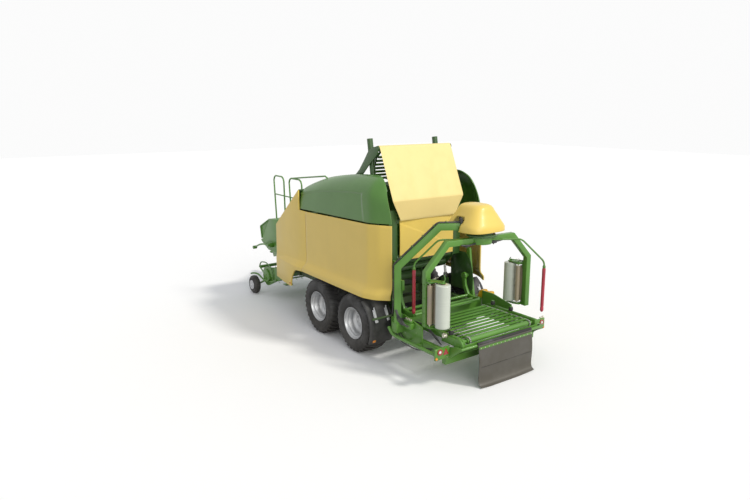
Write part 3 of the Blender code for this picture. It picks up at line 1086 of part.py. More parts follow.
for label, side in SIDES:
    pieces.append(block((side * beam_in, WRAP_REAR, WRAP_BEAM_BOTTOM), (side * beam_out, front_face - OVERLAP, beam_top)))
    pieces.append(sheet_metal(plate_outline, SIDE_PLATE_THICK,
                              (side * (beam_out + SIDE_PLATE_THICK / 2 - OVERLAP / 5), 0, 0)))
    pieces.append(sheet_metal(post_outline, LIFTER_ARM_THICK, (side * post_x, 0, 0)))
    pieces.append(sheet_metal(carrier_outline, LIFTER_ARM_THICK,
                              (side * (beam_in - LIFTER_ARM_THICK / 2 + OVERLAP / 2), 0, 0)))
    pieces.append(round_bar((side * post_x, LIFTER_PIVOT_Y, LIFTER_PIVOT_Z),
                            (side * (LIFTER_X + LIFTER_ARM_THICK / 2 + SEAT), LIFTER_PIVOT_Y, LIFTER_PIVOT_Z),
                            TAILGATE_TUBE_RADIUS))
    pieces.append(round_bar((side * (beam_in + OVERLAP), TABLE_PIVOT_Y, TABLE_PIVOT_Z),
                            (side * (TABLE_HALF + SEAT), TABLE_PIVOT_Y, TABLE_PIVOT_Z), GUARD_RADIUS))
    pieces.append(block((side * (beam_in + OVERLAP), TABLE_PIVOT_Y - CROSS_BEAM / 2, beam_top - OVERLAP),
                        (side * beam_out - side * OVERLAP, TABLE_PIVOT_Y + CROSS_BEAM / 2, TABLE_PIVOT_Z + CROSS_BEAM / 2)))
foot_half = GANTRY_SECTION * 0.6
pieces.append(block((-beam_out - OVERLAP, GANTRY_FOOT_Y - foot_half, beam_top + GUARD_RADIUS + OVERLAP),
                    (GANTRY_FOOT_X - foot_half, GANTRY_FOOT_Y + foot_half, gantry_base_z - SEAT)))
part("wrap_frame", "green_paint", pieces, chassis)

# Gantry: one leg on the left, up and over to the rotor's bearing
foot = Vector((GANTRY_FOOT_X, GANTRY_FOOT_Y, 0))
inward = (ROTOR - foot).normalized()
reach = (ROTOR - foot).length
shoulder = reach * GANTRY_SHOULDER_SHARE
across = Vector((-inward.y, inward.x, 0))


def gantry_point(distance, z, lift=0.0):
    place = foot + inward * distance
    return Vector((place.x, place.y, z + lift))


line = [gantry_point(0, gantry_base_z), gantry_point(0, GANTRY_ELBOW_Z),
        gantry_point(shoulder, GANTRY_TOP_Z), gantry_point(reach, GANTRY_TOP_Z)]
bearing_low = HUB_TOP_Z + SEAT
hood_inside = HOOD_TOP_Z - HOOD_THICK / 2 - SEAT
pieces = [box_tube(line, across, GANTRY_SECTION, GANTRY_SECTION),
          block((GANTRY_FOOT_X - foot_half, GANTRY_FOOT_Y - foot_half, gantry_base_z),
                (GANTRY_FOOT_X + foot_half, GANTRY_FOOT_Y + foot_half, gantry_base_z + SIDE_PLATE_THICK)),
          round_bar(ROTOR + Vector((0, 0, HUB_TOP_Z + RUNNING_GAP)), ROTOR + Vector((0, 0, GANTRY_TOP_Z)),
                    HUB_PLATE_RADIUS, sides=ROUND_STEPS),
          round_bar(ROTOR + Vector((0, 0, bearing_low)), ROTOR + Vector((0, 0, GANTRY_TOP_Z)),
                    GANTRY_SECTION / 2, sides=ROUND_STEPS),
          round_bar(ROTOR + Vector((0, 0, GANTRY_TOP_Z)), ROTOR + Vector((0, 0, hood_inside)), MAT_TUBE_RADIUS)]
part("gantry", "dark_green_paint", pieces, chassis)

# Hoses along the gantry's back, held by clip blocks
offset = GANTRY_SECTION / 2 + HOSE_RADIUS + SEAT
slope = (gantry_point(shoulder, GANTRY_TOP_Z) - gantry_point(0, GANTRY_ELBOW_Z)).normalized()
rise = Vector((0, 0, 1))
normal_slope = (across.cross(slope)).normalized()
if normal_slope.z < 0:
    normal_slope = -normal_slope
corner_low = (normal_slope - inward).normalized()
corner_high = (normal_slope + rise).normalized()
low_scale = offset / corner_low.dot(-inward)
high_scale = offset / corner_high.dot(rise)
hose_line = [line[0] - inward * offset + rise * GANTRY_SECTION, line[1] + corner_low * low_scale,
             line[2] + corner_high * high_scale, gantry_point(reach - HOOD_HALF_X * 0.4, GANTRY_TOP_Z, offset)]
pieces = []
for share in (-1.0, 0.0, 1.0):
    pieces.append(pipe([point + across * HOSE_SPACING * share for point in hose_line], HOSE_RADIUS, 1))
for start, end in zip(hose_line, hose_line[1:]):
    middle = (start + end) / 2
    reach_out = (end - start).normalized() * HOSE_RADIUS
    pieces.append(box_tube([middle - reach_out, middle + reach_out], across, HOSE_SPACING * 2.6, HOSE_RADIUS * 2))
part("gantry_hoses", "black_rubber", pieces, chassis)

# Hood over the rotor's drive: a chamfered cap, open below and where the gantry enters
def ring_points(half_x, half_y, z, chamfer):
    return [(HOOD_X + sx * x, ROTOR_Y + HOOD_AHEAD + sy * y, z) for sx, sy, x, y in (
        (1, 1, half_x, half_y - chamfer), (1, 1, half_x - chamfer, half_y),
        (-1, 1, half_x - chamfer, half_y), (-1, 1, half_x, half_y - chamfer),
        (-1, -1, half_x, half_y - chamfer), (-1, -1, half_x - chamfer, half_y),
        (1, -1, half_x - chamfer, half_y), (1, -1, half_x, half_y - chamfer))]


bm = bmesh.new()
rings = [ring_points(HOOD_HALF_X, HOOD_HALF_Y, HOOD_BASE_Z, HOOD_HALF_X * 0.35),
         ring_points(HOOD_HALF_X, HOOD_HALF_Y, HOOD_BASE_Z + HOOD_SKIRT, HOOD_HALF_X * 0.35),
         ring_points(HOOD_TOP_HALF_X, HOOD_TOP_HALF_Y, HOOD_TOP_Z, HOOD_TOP_HALF_X * 0.4)]
loops = [[bm.verts.new(point) for point in ring] for ring in rings]
for loop, following in zip(loops, loops[1:]):
    for i in range(len(loop)):
        j = (i + 1) % len(loop)
        bm.faces.new((loop[i], loop[j], following[j], following[i]))
bm.faces.new(loops[-1])
hood = as_object("hood", bm)
wall = hood.modifiers.new("wall", "SOLIDIFY")
wall.thickness = HOOD_THICK
wall.offset = 0
wall.use_even_offset = True
hood = settle(hood)
entry_low = gantry_point(reach - HOOD_HALF_X * 1.6, GANTRY_TOP_Z, OVERLAP)
entry_high = gantry_point(reach - HUB_PLATE_RADIUS, GANTRY_TOP_Z, OVERLAP)
entry = box_tube([entry_low, entry_high], across, GANTRY_SECTION + OVERLAP * 6, GANTRY_SECTION + OVERLAP * 8)
part("rotor_hood", "cream_paint", [hood], chassis, (entry,))

# Wheel chocks in their holder on the right side plate
chock_low = CHOCK_Z - CHOCK_HEIGHT / 2
chock_in = beam_out + SIDE_PLATE_THICK - OVERLAP / 5 + SEAT
wedge = [(CHOCK_Y - CHOCK_LENGTH / 2, chock_low), (CHOCK_Y + CHOCK_LENGTH / 2, chock_low),
         (CHOCK_Y + CHOCK_LENGTH / 2, CHOCK_Z + CHOCK_HEIGHT / 2),
         (CHOCK_Y + CHOCK_LENGTH / 4, CHOCK_Z + CHOCK_HEIGHT / 2),
         (CHOCK_Y - CHOCK_LENGTH / 2, chock_low + CHOCK_HEIGHT / 3)]
pieces = [sheet_metal(wedge, CHOCK_WIDTH, (chock_in + CHOCK_WIDTH / 2, 0, 0))]
part("wheel_chocks", "yellow_plastic", pieces, chassis)

# Guards: a bumper tube along each side and the rear light board it carries
board_y = WRAP_REAR - SEAT - BOARD_THICK / 2
for label, side in SIDES:
    pieces = [block((side * BOARD_IN, board_y - BOARD_THICK / 2, BOARD_LOW),
                    (side * BOARD_OUT, board_y + BOARD_THICK / 2, BOARD_HIGH)),
              pipe([(side * GUARD_X, GUARD_FRONT, GUARD_FRONT_Z), (side * GUARD_X, GUARD_BEND + OVERLAP * 2, GUARD_Z + OVERLAP * 2),
                    (side * GUARD_X, GUARD_BEND - OVERLAP * 3, GUARD_Z), (side * GUARD_X, board_y, GUARD_Z)],
                   GUARD_RADIUS)]
    part("side_guard_" + label, "green_paint", pieces, chassis)

# Drop mat: rubber over the carrier tube, hanging to just above the ground
mat_radius = (MAT_TUBE_RADIUS + SEAT + MAT_THICK / 2) / math.cos(wrap_step / 2)
path = arc((MAT_TUBE_Y, MAT_TOP_Z), mat_radius, math.radians(42), math.radians(180), 7)
hang = MAT_TUBE_Y - mat_radius
drop = MAT_TOP_Z - MAT_FLOOR_GAP
mat_shares = ((0.18, 0.0), (0.42, 0.75), (0.62, 1.0), (0.80, 0.75), (0.91, 0.9))
path += [(hang - MAT_SWELL * swell, MAT_TOP_Z - drop * fall) for fall, swell in mat_shares]
path.append((MAT_TIP, MAT_FLOOR_GAP))
rows = [[(MAT_HALF * share, y, z) for share in (-1.0, 1.0)] for y, z in path]
part("drop_mat", "grey_rubber", [shell(rows, MAT_THICK)], chassis)

# Bale lifter: two curved arms on the posts, joined by the tubes that carry the bale
lifter = pivot("lifter", 0, LIFTER_PIVOT_Y, LIFTER_PIVOT_Z, chassis)
arm_drop = LIFTER_PIVOT_Z - TABLE_TOP - LIFTER_TUBE_RADIUS
arm_shares = ((0.0, 0.0), (0.05, -0.45), (0.28, -0.92), (0.62, -1.0), (1.0, -0.95))
arm_path = [(LIFTER_PIVOT_Y - LIFTER_REACH * back, LIFTER_PIVOT_Z + arm_drop * down) for back, down in arm_shares]
pieces = []
for label, side in SIDES:
    pieces.append(box_tube([(side * LIFTER_X, y, z) for y, z in arm_path], (1, 0, 0),
                           LIFTER_ARM_THICK, LIFTER_ARM_THICK * 1.6))
    pieces.append(round_bar((side * (LIFTER_X - LIFTER_ARM_THICK / 2), LIFTER_PIVOT_Y, LIFTER_PIVOT_Z),
                            (side * (LIFTER_X + LIFTER_ARM_THICK / 2), LIFTER_PIVOT_Y, LIFTER_PIVOT_Z),
                            CROSS_BEAM * 0.7, sides=ROLLER_SIDES))
for y, z in arm_path[2:]:
    pieces.append(round_bar((-LIFTER_X, y, z), (LIFTER_X, y, z), LIFTER_TUBE_RADIUS))
part("bale_lifter", "green_paint", pieces, lifter)

# Wrapping table: side members with bale guides, and the slat conveyor between them
table = pivot("table", 0, TABLE_PIVOT_Y, TABLE_PIVOT_Z, chassis)
side_mid = TABLE_HALF - TABLE_SIDE_WIDTH / 2
side_in = TABLE_HALF - TABLE_SIDE_WIDTH
roller_z = TABLE_TOP - TABLE_ROLLER_RADIUS
pieces = []
GUIDES = ((-1, 0.38), (-1, 0.74), (1, 0.12), (1, 0.50))
for label, side in SIDES:
    pieces.append(block((side * side_in, TABLE_FRONT, TABLE_TOP - TABLE_SIDE_HEIGHT),
                        (side * TABLE_HALF, TABLE_REAR, TABLE_TOP)))
    pieces.append(block((side * (side_in + OVERLAP), TABLE_PIVOT_Y - CROSS_BEAM / 2, TABLE_PIVOT_Z - CROSS_BEAM / 2),
                        (side * TABLE_HALF, TABLE_PIVOT_Y + CROSS_BEAM / 2, TABLE_TOP - OVERLAP)))
for share in (0.22, 0.80):
    y = TABLE_FRONT + (TABLE_REAR - TABLE_FRONT) * share
    pieces.append(block((-side_in - OVERLAP, y - RAIL_TUBE, roller_z - RAIL_TUBE),
                        (side_in + OVERLAP, y + RAIL_TUBE, roller_z + RAIL_TUBE)))
for side, share in GUIDES:
    y = TABLE_FRONT + (TABLE_REAR - TABLE_FRONT) * share
    pieces.append(round_bar((side * side_mid, y, TABLE_TOP - OVERLAP), (side * side_mid, y, TABLE_TOP + GUIDE_HEIGHT),
                            GUIDE_RADIUS * 0.6, GUIDE_RADIUS * 0.7))
part("table_frame", "green_paint", pieces, table)
front_roller = TABLE_FRONT - TABLE_ROLLER_RADIUS
rear_roller = TABLE_REAR + TABLE_ROLLER_RADIUS + OVERLAP
half_turn = math.pi / 2
pieces = []
chain_out = TABLE_ROLLER_RADIUS + OVERLAP
outer = (arc((front_roller, roller_z), chain_out, -half_turn, half_turn, 9)
         + arc((rear_roller, roller_z), chain_out, half_turn, 3 * half_turn, 9))
inner_ring = (arc((front_roller, roller_z), chain_out - TABLE_CHAIN, -half_turn, half_turn, 9)
              + arc((rear_roller, roller_z), chain_out - TABLE_CHAIN, half_turn, 3 * half_turn, 9))
for label, side in SIDES:
    pieces.append(sheet_metal(outer, TABLE_CHAIN_THICK, (side * TABLE_CHAIN_X, 0, 0), holes=(inner_ring,)))
for y in (front_roller, rear_roller):
    pieces.append(round_bar((-side_in + SEAT, y, roller_z), (side_in - SEAT, y, roller_z),
                            TABLE_ROLLER_RADIUS, sides=ROLLER_SIDES))
bar_top = roller_z + chain_out - OVERLAP / 2
for share in (0.16, 0.33, 0.50, 0.67, 0.84):
    y = front_roller + (rear_roller - front_roller) * share
    for level in (bar_top, roller_z * 2 - bar_top - TABLE_BAR_HEIGHT):
        pieces.append(block((-TABLE_CHAIN_X - TABLE_CHAIN, y - TABLE_BAR_WIDTH / 2, level),
                            (TABLE_CHAIN_X + TABLE_CHAIN, y + TABLE_BAR_WIDTH / 2, level + TABLE_BAR_HEIGHT)))
part("table_conveyor", "green_paint", pieces, table)

# Rotor: hub with two bent arms
rotor = pivot("rotor", 0, ROTOR_Y, 0, chassis)


def around(radius, angle, z):
    """A place on the rotor, angles from the arm at rest, turned to where the arms park."""
    turn = math.pi - ARM_REST_ANGLE + angle
    return Vector((radius * math.cos(turn), ROTOR_Y + radius * math.sin(turn), z))


pieces = [round_bar(ROTOR + Vector((0, 0, ARM_Z - ARM_SECTION * 0.6)), ROTOR + Vector((0, 0, HUB_TOP_Z)),
                    HUB_PLATE_RADIUS, sides=ROUND_STEPS)]
for half_turns in (0, 1):
    at = half_turns * math.pi
    side_axis = Vector((0, 0, 1)).cross(around(1, at, 0) - ROTOR)
    pieces.append(box_tube([around(CROSS_BEAM, at, ARM_Z), around(ARM_SHOULDER_RADIUS, at, ARM_Z),
                            around(ARM_RADIUS, at, ARM_ELBOW_Z), around(ARM_RADIUS, at, ARM_FOOT_Z)],
                           side_axis, ARM_SECTION, ARM_SECTION))
part("wrap_arms", "green_paint", pieces, rotor)

# On each arm: a film stretcher, a film roll that turns on its own pins, and a safety bar
film_radius_place = ARM_RADIUS - FILM_INSET
film_top = FILM_FOOT_Z + FILM_HEIGHT
arm_face = ARM_SECTION / 2 + SEAT
for label, half_turns in (("near", 0), ("far", 1)):
    at = half_turns * math.pi
    radial = (around(1, at, 0) - ROTOR).normalized()
    swing = (around(1, at + math.pi / 2, 0) - ROTOR).normalized()

    def spot(out, along_swing, z):
        return ROTOR + radial * out + swing * along_swing + Vector((0, 0, z))

    film_at = spot(film_radius_place, FILM_SWING, 0)
    pieces = []
    for z in (FILM_FOOT_Z - STRETCH_PLATE - RUNNING_GAP, film_top + RUNNING_GAP):
        corners = [spot(ARM_RADIUS + ARM_SECTION / 2, arm_face, 0), spot(ARM_RADIUS - ARM_SECTION, arm_face, 0),
                   spot(film_radius_place - FILM_CORE_RADIUS, FILM_SWING + FILM_CORE_RADIUS, 0),
                   spot(film_radius_place + FILM_CORE_RADIUS, FILM_SWING + FILM_CORE_RADIUS, 0)]
        pieces.append(sheet_metal([(p.x, p.y) for p in corners], STRETCH_PLATE,
                                  (0, 0, z + STRETCH_PLATE / 2), TOP_VIEW))
    low_z = FILM_FOOT_Z - STRETCH_PLATE / 2 - RUNNING_GAP
    high_z = film_top + STRETCH_PLATE / 2 + RUNNING_GAP
    for out in (ARM_RADIUS, ARM_RADIUS - STRETCH_ROLLER_RADIUS * 2.4):
        pieces.append(round_bar(spot(out, arm_face + STRETCH_ROLLER_RADIUS * 1.2, low_z),
                                spot(out, arm_face + STRETCH_ROLLER_RADIUS * 1.2, high_z),
                                STRETCH_ROLLER_RADIUS, sides=ROLLER_SIDES))
    for z, pin_end in ((low_z, FILM_FOOT_Z - SEAT), (high_z, film_top + SEAT)):
        pieces.append(round_bar(Vector((film_at.x, film_at.y, z)), Vector((film_at.x, film_at.y, pin_end)),
                                FILM_CORE_RADIUS * 0.6))
    part("film_stretcher_" + label, "green_paint", pieces, rotor)
    film = pivot("film_" + label, film_at.x, film_at.y, FILM_FOOT_Z, rotor)
    profile = [(0, FILM_HEIGHT), (FILM_CORE_RADIUS, FILM_HEIGHT), (FILM_CORE_RADIUS, FILM_HEIGHT - OVERLAP),
               (FILM_RADIUS, FILM_HEIGHT - OVERLAP), (FILM_RADIUS, OVERLAP), (FILM_CORE_RADIUS, OVERLAP),
               (FILM_CORE_RADIUS, 0), (0, 0)]
    part("film_roll_" + label, "white_film",
         [turned(profile, Matrix.Translation(pivot_place[film.name]))], film)
    bar = pipe([around(HUB_PLATE_RADIUS + SEAT, at - BAR_LEAD, ARM_Z),
                around(ARM_SHOULDER_RADIUS, at - BAR_LEAD, ARM_Z),
                around(BAR_RADIUS, at - BAR_LEAD, BAR_TOP_Z + CROSS_BEAM),
                around(BAR_RADIUS, at - BAR_LEAD, BAR_TOP_Z - OVERLAP)], BAR_TUBE_RADIUS)
    red = round_bar(around(BAR_RADIUS, at - BAR_LEAD, BAR_FOOT_Z), around(BAR_RADIUS, at - BAR_LEAD, BAR_TOP_Z),
                    BAR_ROD_RADIUS)
    part("safety_bar_" + label, "red_paint", [bar, red], rotor)
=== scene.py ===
# A towed round baler with a twin-arm bale wrapper behind it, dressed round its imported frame.
# Metres, +Z up, +Y forward, +X right. Points given from the axle have y = 0 at the rear axle.
import json
import math

import bmesh
import bpy
from mathutils import Matrix, Vector


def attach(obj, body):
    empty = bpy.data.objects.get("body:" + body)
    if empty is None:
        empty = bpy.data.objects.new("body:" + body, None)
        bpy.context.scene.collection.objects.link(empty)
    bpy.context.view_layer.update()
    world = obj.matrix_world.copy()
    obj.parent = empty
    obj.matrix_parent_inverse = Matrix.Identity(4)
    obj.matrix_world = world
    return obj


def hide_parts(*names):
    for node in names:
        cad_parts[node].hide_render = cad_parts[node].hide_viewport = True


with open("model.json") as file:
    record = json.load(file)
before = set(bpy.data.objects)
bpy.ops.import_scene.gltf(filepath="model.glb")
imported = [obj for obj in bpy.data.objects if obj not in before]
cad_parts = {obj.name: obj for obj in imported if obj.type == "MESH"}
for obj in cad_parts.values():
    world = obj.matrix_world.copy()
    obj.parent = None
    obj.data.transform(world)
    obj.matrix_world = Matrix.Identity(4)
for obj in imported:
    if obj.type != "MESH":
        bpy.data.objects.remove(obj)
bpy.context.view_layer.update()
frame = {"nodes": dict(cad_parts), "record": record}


# The picture: where the photographer stood, a pale floor, a soft lamp high behind the
# machine's right corner, a wide fill lamp behind it and a plain pale sky all round.
EYE = (-7.418, -11.2345, 4.456)
EYE_TURN = math.radians(36.84)
EYE_DIP = math.radians(13.52)
SKY = (0.93, 0.95, 1.0)
SKY_LEVEL = 0.56
BACKDROP = (0.97, 0.97, 0.97)
LENS = 29.81
LENS_SHIFT = (-0.02877, 0.01368)
SIGHT_REACH = 200
LAMPS = (("sun", 1.65, math.radians(9), (1.0, 0.97, 0.90), Vector((0.36, -0.62, 0.70))),
         ("fill", 1.15, math.radians(50), (1.0, 0.98, 0.93), Vector((-0.16, -0.92, 0.36))))
FLOOR_REACH = 60
FLOOR_LIT = (0.42, 0.42, 0.42, 1)
FLOOR_SHOWN = (1.0, 1.0, 1.0, 1)
FLOOR_ROUGHNESS = 0.9
FLOOR_GLOSS = 0.1


def placed(name, data):
    """A new object, linked into the scene."""
    made = bpy.data.objects.new(name, data)
    bpy.context.scene.collection.objects.link(made)
    return made


camera_data = bpy.data.cameras.new("camera")
camera_data.lens = LENS
camera_data.shift_x, camera_data.shift_y = LENS_SHIFT
camera_data.clip_end = SIGHT_REACH
camera = placed("camera", camera_data)
camera.location = EYE
camera.rotation_euler = (math.pi / 2 - EYE_DIP, 0, -EYE_TURN)
bpy.context.scene.camera = camera

for name, level, spread, colour, source in LAMPS:
    lamp_data = bpy.data.lights.new(name, "SUN")
    lamp_data.energy = level
    lamp_data.angle = spread
    lamp_data.color = colour
    placed(name, lamp_data).rotation_euler = source.to_track_quat("Z", "Y").to_euler()

sky = bpy.data.worlds.new("sky")
sky.use_nodes = True
bpy.context.scene.world = sky


def shown_rays(tree):
    """1 for the rays that the camera, a gloss or a glass sends to the background."""
    ray = tree.nodes.new("ShaderNodeLightPath")
    seen = ray.outputs["Is Camera Ray"]
    for kind in ("Is Glossy Ray", "Is Transmission Ray"):
        either = tree.nodes.new("ShaderNodeMath")
        either.operation = "MAXIMUM"
        tree.links.new(seen, either.inputs[0])
        tree.links.new(ray.outputs[kind], either.inputs[1])
        seen = either.outputs[0]
    return seen


light = sky.node_tree.nodes["Background"]
light.inputs["Color"].default_value = (*SKY, 1)
light.inputs["Strength"].default_value = SKY_LEVEL
seen = sky.node_tree.nodes.new("ShaderNodeBackground")
seen.inputs["Color"].default_value = (*BACKDROP, 1)
pick = sky.node_tree.nodes.new("ShaderNodeMixShader")
sky.node_tree.links.new(shown_rays(sky.node_tree), pick.inputs["Fac"])
sky.node_tree.links.new(light.outputs[0], pick.inputs[1])
sky.node_tree.links.new(seen.outputs[0], pick.inputs[2])
sky.node_tree.links.new(pick.outputs[0], sky.node_tree.nodes["World Output"].inputs["Surface"])
bpy.context.scene.view_settings.view_transform = "Standard"

bm = bmesh.new()
bmesh.ops.create_grid(bm, x_segments=1, y_segments=1, size=FLOOR_REACH)
floor_mesh = bpy.data.meshes.new("floor")
bm.to_mesh(floor_mesh)
bm.free()
floor = placed("floor", floor_mesh)
floor_finish = bpy.data.materials.new("floor")
floor_finish.use_nodes = True
floor_shader = floor_finish.node_tree.nodes["Principled BSDF"]
floor_colour = floor_finish.node_tree.nodes.new("ShaderNodeMix")
floor_colour.data_type = "RGBA"
floor_colour.inputs[6].default_value = FLOOR_LIT
floor_colour.inputs[7].default_value = FLOOR_SHOWN
floor_finish.node_tree.links.new(shown_rays(floor_finish.node_tree), floor_colour.inputs[0])
floor_finish.node_tree.links.new(floor_colour.outputs[2], floor_shader.inputs["Base Color"])
floor_shader.inputs["Roughness"].default_value = FLOOR_ROUGHNESS
floor_shader.inputs["Specular IOR Level"].default_value = FLOOR_GLOSS
floor_mesh.materials.append(floor_finish)


# Paints: baked enamel on steel and moulded skins. A finish is built from nodes; sums on a
# Signal add Math nodes. Each carries soft fading, field dust low down and a faint orange peel.
class Signal:
    """A value in a finish's nodes, on which ordinary sums add Math nodes."""

    def __init__(self, finish, socket):
        self.finish = finish
        self.socket = socket

    def maths(self, operation, first, second=0.0):
        return self.finish.node("ShaderNodeMath", {"operation": operation}, {0: first, 1: second})

    def __add__(self, other):
        return self.maths("ADD", self, other)

    def __radd__(self, other):
        return self.maths("ADD", other, self)

    def __sub__(self, other):
        return self.maths("SUBTRACT", self, other)

    def __rsub__(self, other):
        return self.maths("SUBTRACT", other, self)

    def __mul__(self, other):
        return self.maths("MULTIPLY", self, other)

    def __rmul__(self, other):
        return self.maths("MULTIPLY", other, self)

    def __truediv__(self, other):
        return self.maths("DIVIDE", self, other)

    def __pow__(self, other):
        return self.maths("POWER", self, other)

    def held(self):
        """The same value kept between 0 and 1."""
        return self.finish.node("ShaderNodeClamp", {}, {0: self})

    def above(self, level, soft):
        """0 below a level, 1 above it, with a soft step between."""
        return ((self - (level - soft)) / (2 * soft)).held()


class Finish:
    """A material whose look is written as sums on Signals."""

    def __init__(self, name, colour, roughness, metallic=0.0, coat=0.0):
        self.material = bpy.data.materials.new(name)
        self.material.use_nodes = True
        self.tree = self.material.node_tree
        self.shader = self.tree.nodes["Principled BSDF"]
        self.feed("Base Color", (*colour, 1))
        self.feed("Roughness", roughness)
        self.feed("Metallic", metallic)
        self.feed("Coat Weight", coat)
        self.feed("Coat Roughness", 0.12)
        self.place = self.node("ShaderNodeTexCoord", output="Object")

    def node(self, kind, settings=None, sockets=None, output=0):
        made = self.tree.nodes.new(kind)
        for key, value in (settings or {}).items():
            setattr(made, key, value)
        for key, value in (sockets or {}).items():
            self.join(value, made.inputs[key])
        return Signal(self, made.outputs[output])

    def join(self, value, socket):
        if isinstance(value, Signal):
            self.tree.links.new(value.socket, socket)
        else:
            socket.default_value = value

    def feed(self, name, value):
        self.join(value, self.shader.inputs[name])

    def part_of(self, axis):
        return self.node("ShaderNodeSeparateXYZ", {}, {0: self.place}, "XYZ".index(axis))

    def noise(self, scale, detail=3.0, stretch=None):
        place = self.place
        if stretch:
            place = self.node("ShaderNodeMapping", {}, {"Vector": self.place, "Scale": stretch})
        return self.node("ShaderNodeTexNoise", {}, {"Vector": place, "Scale": scale, "Detail": detail})

    def blend(self, share, first, second):
        colours = [value if isinstance(value, Signal) else (*value, 1) for value in (first, second)]
        return self.node("ShaderNodeMix", {"data_type": "RGBA"}, {0: share, 6: colours[0], 7: colours[1]},
                         2)

    def bump(self, height, depth, strength=1.0):
        self.feed("Normal", self.node("ShaderNodeBump", {}, {
            "Height": height, "Distance": depth, "Strength": strength}))


DUST = (0.36, 0.31, 0.22)


def enamel(name, colour, roughness=0.34, dust_top=1.1, dust=0.30, coat=0.35, fade=0.16):
    """Gloss paint: cloudy fading, dust that thins out upwards, fine runs and peel."""
    made = Finish(name, colour, roughness, coat=coat)
    cloud = made.noise(1.7, 4.0)
    streak = made.noise(2.2, 4.0, (3.0, 3.0, 0.35))
    grain = made.noise(45.0, 3.0)
    height = made.part_of("Z")
    low = (1.0 - height / dust_top).held()
    dirt = (low * (0.35 + cloud) * dust + (streak.above(0.60, 0.12) * dust * 0.25)).held()
    pale = [min(1.0, part * (1 + fade) + 0.01) for part in colour]
    deep = [part * (1 - fade) for part in colour]
    painted = made.blend(cloud.above(0.5, 0.25), deep, pale)
    made.feed("Base Color", made.blend(dirt, painted, DUST))
    made.feed("Roughness", (roughness + dirt * 0.5 + grain * 0.08).held())
    made.bump(grain, 0.0004, 0.5)
    return made.material


CREAM = enamel("cream_paint", (0.80, 0.58, 0.115), 0.36, dust_top=0.9, dust=0.10, coat=0.15, fade=0.03)
GREEN = enamel("green_paint", (0.080, 0.235, 0.020), 0.38, dust_top=0.9, dust=0.12, coat=0.2)
COVER_GREEN = enamel("cover_green", (0.066, 0.195, 0.020), 0.32, dust_top=1.0, dust=0.05, coat=0.25,
                     fade=0.06)
DARK_GREEN = enamel("dark_green_paint", (0.026, 0.088, 0.010), 0.46, dust_top=1.2, dust=0.3)
RED = enamel("red_paint", (0.42, 0.012, 0.035), 0.30, dust=0.12)


def metal(name, colour, roughness, metallic=1.0, dust=0.2, dust_top=1.0):
    """Bare or plated steel: brushed variation, dulled patches and settled dust."""
    made = Finish(name, colour, roughness, metallic)
    cloud = made.noise(6.0, 4.0)
    scratch = made.noise(30.0, 4.0, (1.0, 1.0, 14.0))
    low = (1.0 - made.part_of("Z") / dust_top).held()
    dirt = (low * (0.2 + cloud) * dust).held()
    dull = cloud.above(0.55, 0.15) * 0.25
    made.feed("Base Color", made.blend(dirt + dull * 0.4, colour, [part * 0.6 for part in DUST]))
    made.feed("Roughness", (roughness + dull + scratch * 0.12 + dirt * 0.4).held())
    made.feed("Metallic", metallic * (1.0 - dirt))
    made.bump(scratch, 0.0003, 0.4)
    return made.material


SILVER = metal("silver_paint", (0.66, 0.67, 0.69), 0.32, 0.30, dust=0.10, dust_top=1.3)
STEEL = metal("bright_steel", (0.66, 0.66, 0.64), 0.24)
ZINC = metal("zinc_plate", (0.60, 0.58, 0.50), 0.36)


def moulded(name, colour, roughness, grain_scale=160.0, dust=0.25, dust_top=0.9, worn=0.25):
    """Rubber or plastic: a pored skin, scuffed paler in patches and dusty low down."""
    made = Finish(name, colour, roughness)
    pore = made.noise(grain_scale, 3.0)
    cloud = made.noise(4.0, 5.0)
    low = (1.0 - made.part_of("Z") / dust_top).held()
    dirt = (low * (0.3 + cloud) * dust).held()
    scuffed = [part + (0.22 - part) * worn for part in colour]
    skin = made.blend(cloud.above(0.56, 0.14), colour, scuffed)
    made.feed("Base Color", made.blend(dirt, skin, [part * 0.55 for part in DUST]))
    made.feed("Roughness", (roughness + pore * 0.12 + dirt * 0.2 - cloud * 0.08).held())
    made.bump(pore, 0.0006, 0.6)
    return made.material


RUBBER = moulded("black_rubber", (0.014, 0.0135, 0.013), 0.66, dust=0.14)
MAT_RUBBER = moulded("grey_rubber", (0.072, 0.066, 0.052), 0.44, 90.0, dust=0.10, dust_top=0.5, worn=0.12)
BLACK = moulded("black_plastic", (0.020, 0.020, 0.019), 0.42, dust=0.14, dust_top=0.7)
YELLOW = moulded("yellow_plastic", (0.86, 0.50, 0.012), 0.36, dust=0.1, worn=0.0)
HOSE = moulded("black_hose", (0.022, 0.022, 0.022), 0.50, 220.0, dust=0.15)

SAME_POINT = 0.00002
BODY_OF = {node: body for body, nodes in frame["record"]["behaviour"]["bodies"].items()
           for node in nodes}


def finished(name, bm, finish, body, sharp=32, recalc=True):
    """Close a mesh, make it a piece, paint it and hang it on its body."""
    bmesh.ops.remove_doubles(bm, verts=bm.verts, dist=SAME_POINT)
    if recalc:
        bmesh.ops.recalc_face_normals(bm, faces=bm.faces)
    mesh = bpy.data.meshes.new(name)
    bm.to_mesh(mesh)
    bm.free()
    mesh.shade_smooth()
    mesh.set_sharp_from_angle(angle=math.radians(sharp))
    mesh.materials.append(finish)
    made = placed(name, mesh)
    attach(made, body)
    return made


def keep(finish, *nodes):
    """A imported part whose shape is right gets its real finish."""
    for node in nodes:
        for slot in frame["nodes"][node].material_slots:
            slot.material = finish


def eased(bm, edges, width, segments=2, affect="EDGES"):
    """Round off a mesh's edges, or its corners."""
    bmesh.ops.bevel(bm, geom=edges, offset=width, offset_type="OFFSET", affect=affect,
                    segments=segments, profile=0.5, material=-1, clamp_overlap=True)


